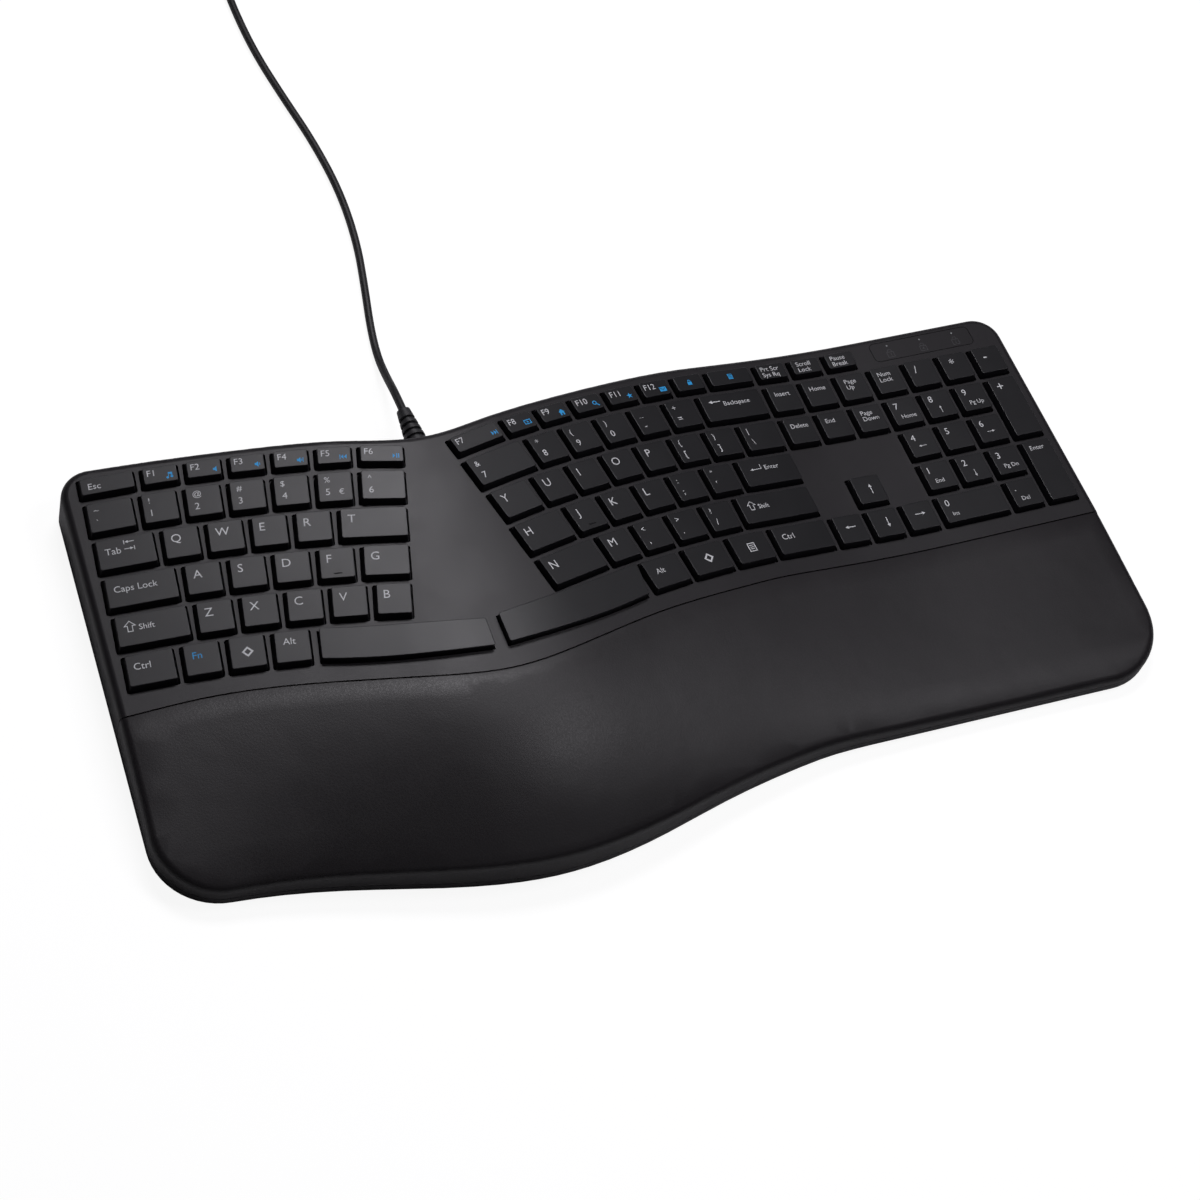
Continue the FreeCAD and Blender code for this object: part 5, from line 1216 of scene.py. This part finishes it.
def make_rest():
    """The cushion's skin: one closed mesh with smooth slopes and a rounded lip at the seam."""
    sizes = bpy.context.scene.keyboard_sizes
    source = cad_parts["wrist_rest_cushion"]
    mesh = source.data.copy()
    mesh.materials.clear()
    piece = bpy.data.objects.new("wrist_rest_skin", mesh)
    bpy.context.collection.objects.link(piece)
    shape = bmesh.new()
    shape.from_mesh(mesh)
    bmesh.ops.remove_doubles(shape, verts=shape.verts, dist=1e-6)
    bmesh.ops.recalc_face_normals(shape, faces=shape.faces)
    lip = [edge for edge in shape.edges if on_seam_lip(edge)]
    bmesh.ops.bevel(shape, geom=lip, offset=sizes.seam_round, segments=2, profile=0.5,
                    affect="EDGES")
    shape.to_mesh(mesh)
    shape.free()
    kept_normals = mesh.attributes.get("custom_normal")
    if kept_normals is not None:
        mesh.attributes.remove(kept_normals)
    mesh.materials.append(leatherette("rest_leatherette", finishes().rest, 0.41))
    mesh.polygons.foreach_set("use_smooth", [True] * len(mesh.polygons))
    mesh.set_sharp_from_angle(angle=sizes.crease_angle)
    mesh.update()
    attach(piece, HOUSING)
    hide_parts("wrist_rest_cushion")


PAD_RADIUS = 2.6
PAD_THICKNESS = 0.06


def make_contact_pads():
    """A printed pad on the membrane under each stem."""
    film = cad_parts["membrane_sheet"].data
    surface = BVHTree.FromPolygons([v.co for v in film.vertices],
                                   [tuple(p.vertices) for p in film.polygons])
    places = []
    for node in list(PRINTS) + SPACE_BARS:
        for place in stem_places(node):
            spot, _, _, _ = surface.ray_cast(place, Vector((0, 0, -1)))
            if spot is None:
                raise RuntimeError("no membrane under a stem of " + node)
            places.append(spot)
    carrier = new_piece("pad_points", places, [], [])
    carbon = rubber("carbon_print", (0.02, 0.02, 0.022), 0.6)
    mesh = pads_layout().mesh(carrier, {"Radius": PAD_RADIUS * MM, "Sides": 24,
                                        "Thickness": PAD_THICKNESS * MM, "Material": carbon})
    bpy.data.objects.remove(carrier)
    add_layout_piece("contact_pads", [mesh], carbon)


def add_layout_piece(name, meshes, material):
    """One piece of the housing from the meshes that layouts made."""
    vertices = []
    faces = []
    for mesh in meshes:
        first = len(vertices)
        vertices.extend(v.co.copy() for v in mesh.vertices)
        faces.extend(tuple(first + i for i in p.vertices) for p in mesh.polygons)
        bpy.data.meshes.remove(mesh)
    piece = new_piece(name, vertices, faces, [material])
    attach(piece, HOUSING)
    return piece


BOARD_THICKNESS = 1.6

# Rows of pins on the board: first pin, step, count and pin size, from the board's middle
PIN_ROWS = [
    ((-16.3, -6.6, 0.15), (1.0, 0, 0), 8, (0.45, 1.1, 0.25)),
    ((-16.3, 3.6, 0.15), (1.0, 0, 0), 8, (0.45, 1.1, 0.25)),
    ((-17.6, -5.0, 0.15), (0, 1.0, 0), 8, (1.1, 0.45, 0.25)),
    ((-7.4, -5.0, 0.15), (0, 1.0, 0), 8, (1.1, 0.45, 0.25)),
    ((6.0, -9.4, 0.15), (1.0, 0, 0), 15, (0.4, 0.9, 0.25)),
]


def make_board_pins():
    low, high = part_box("controller_board")
    middle = (low + high) / 2
    level = low.z + BOARD_THICKNESS * MM
    tin = plated_steel("tinned_pin", (0.72, 0.72, 0.70), 0.28)
    layout = pins_layout()
    carrier = new_piece("pin_points", [Vector((0, 0, 0))], [], [])
    meshes = []
    for start, step, count, pin in PIN_ROWS:
        first = Vector((middle.x, middle.y, level)) + mm(*start)
        meshes.append(layout.mesh(carrier, {"Count": count, "Start": first, "Step": mm(*step),
                                            "Pin": mm(*pin), "Material": tin}))
    bpy.data.objects.remove(carrier)
    add_layout_piece("board_pins", meshes, tin)


# The lock strip: what stands on each padlock, and how often the lamps' pitch fits their row
LAMP_SIGNS = ["1", "A", "down"]
LAMP_PITCHES = 2.6
LAMP_DOT_RADIUS = 0.45
LOCK_TEXT_HEIGHT = 1.7
LOCK_ARROW_HEIGHT = 1.9


def lamp_sign(name):
    """A lamp dot and below it a padlock with a sign on it, around their middle."""
    lock = [block(-1.9, -4.0, 1.9, -0.8), block(-1.65, -3.75, 1.65, -1.05)]
    bow = [(-1.1, -0.7), (-1.1, 0.1), (-0.7, 0.6), (0.7, 0.6), (1.1, 0.1), (1.1, -0.7),
           (0.85, -0.7), (0.85, 0.0), (0.6, 0.35), (-0.6, 0.35), (-0.85, 0.0), (-0.85, -0.7)]
    if name in SIGNS:
        half_wide = LOCK_ARROW_HEIGHT / 2
        mark = plate_shape([[(x * LOCK_ARROW_HEIGHT - half_wide, y * LOCK_ARROW_HEIGHT - 3.35)
                             for x, y in loop] for loop in SIGNS[name]])
    else:
        letters, faces = text_shape(name, LOCK_TEXT_HEIGHT)
        half_wide = max(v.x for v in letters) / 2
        mark = ([Vector((v.x - half_wide, v.y - 3.25, v.z)) for v in letters], faces)
    return [(plate_shape([ring(0, 2.9, LAMP_DOT_RADIUS, 16)]), WHITE), (plate_shape(lock), BLUE),
            (plate_shape([bow]), BLUE), (mark, BLUE)]


def make_lamp_signs():
    """Three lamp dots and three padlock signs, printed on the lamp strip."""
    low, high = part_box("indicator_window")
    middle_x = (low[0] + high[0]) / 2 / MM
    middle_y = (low[1] + high[1]) / 2 / MM
    level = high[2] / MM + PRINT_LIFT
    lamp_low, lamp_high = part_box("indicator_lamps")
    pitch = (lamp_high[0] - lamp_low[0]) / MM / LAMP_PITCHES
    gathered = Print()
    for step, name in zip((-1, 0, 1), LAMP_SIGNS):
        x = middle_x + step * pitch
        for shape, colour in lamp_sign(name):
            gathered.add(shape, lambda v: mm(v.x + x, v.y + middle_y, v.z + level), colour)
    inks = [ink("lamp_dot", (0.30, 0.31, 0.32)), ink("lamp_sign_ink", (0.060, 0.060, 0.066))]
    gathered.piece("lamp_signs", inks, HOUSING, "smoked_window")


def main():
    register()
    bpy.context.scene.view_settings.view_transform = "Standard"
    for name in ORDER:
        getattr(bpy.ops.keyboard, name)()
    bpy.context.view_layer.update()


def register():
    for item in CLASSES:
        bpy.utils.register_class(item)
    bpy.types.Scene.keyboard_finishes = bpy.props.PointerProperty(type=KeyboardFinishes)
    bpy.types.Scene.keyboard_sizes = bpy.props.PointerProperty(type=KeyboardSizes)


def unregister():
    del bpy.types.Scene.keyboard_sizes
    del bpy.types.Scene.keyboard_finishes
    for item in reversed(CLASSES):
        bpy.utils.unregister_class(item)


if __name__ == "__main__":
    main()
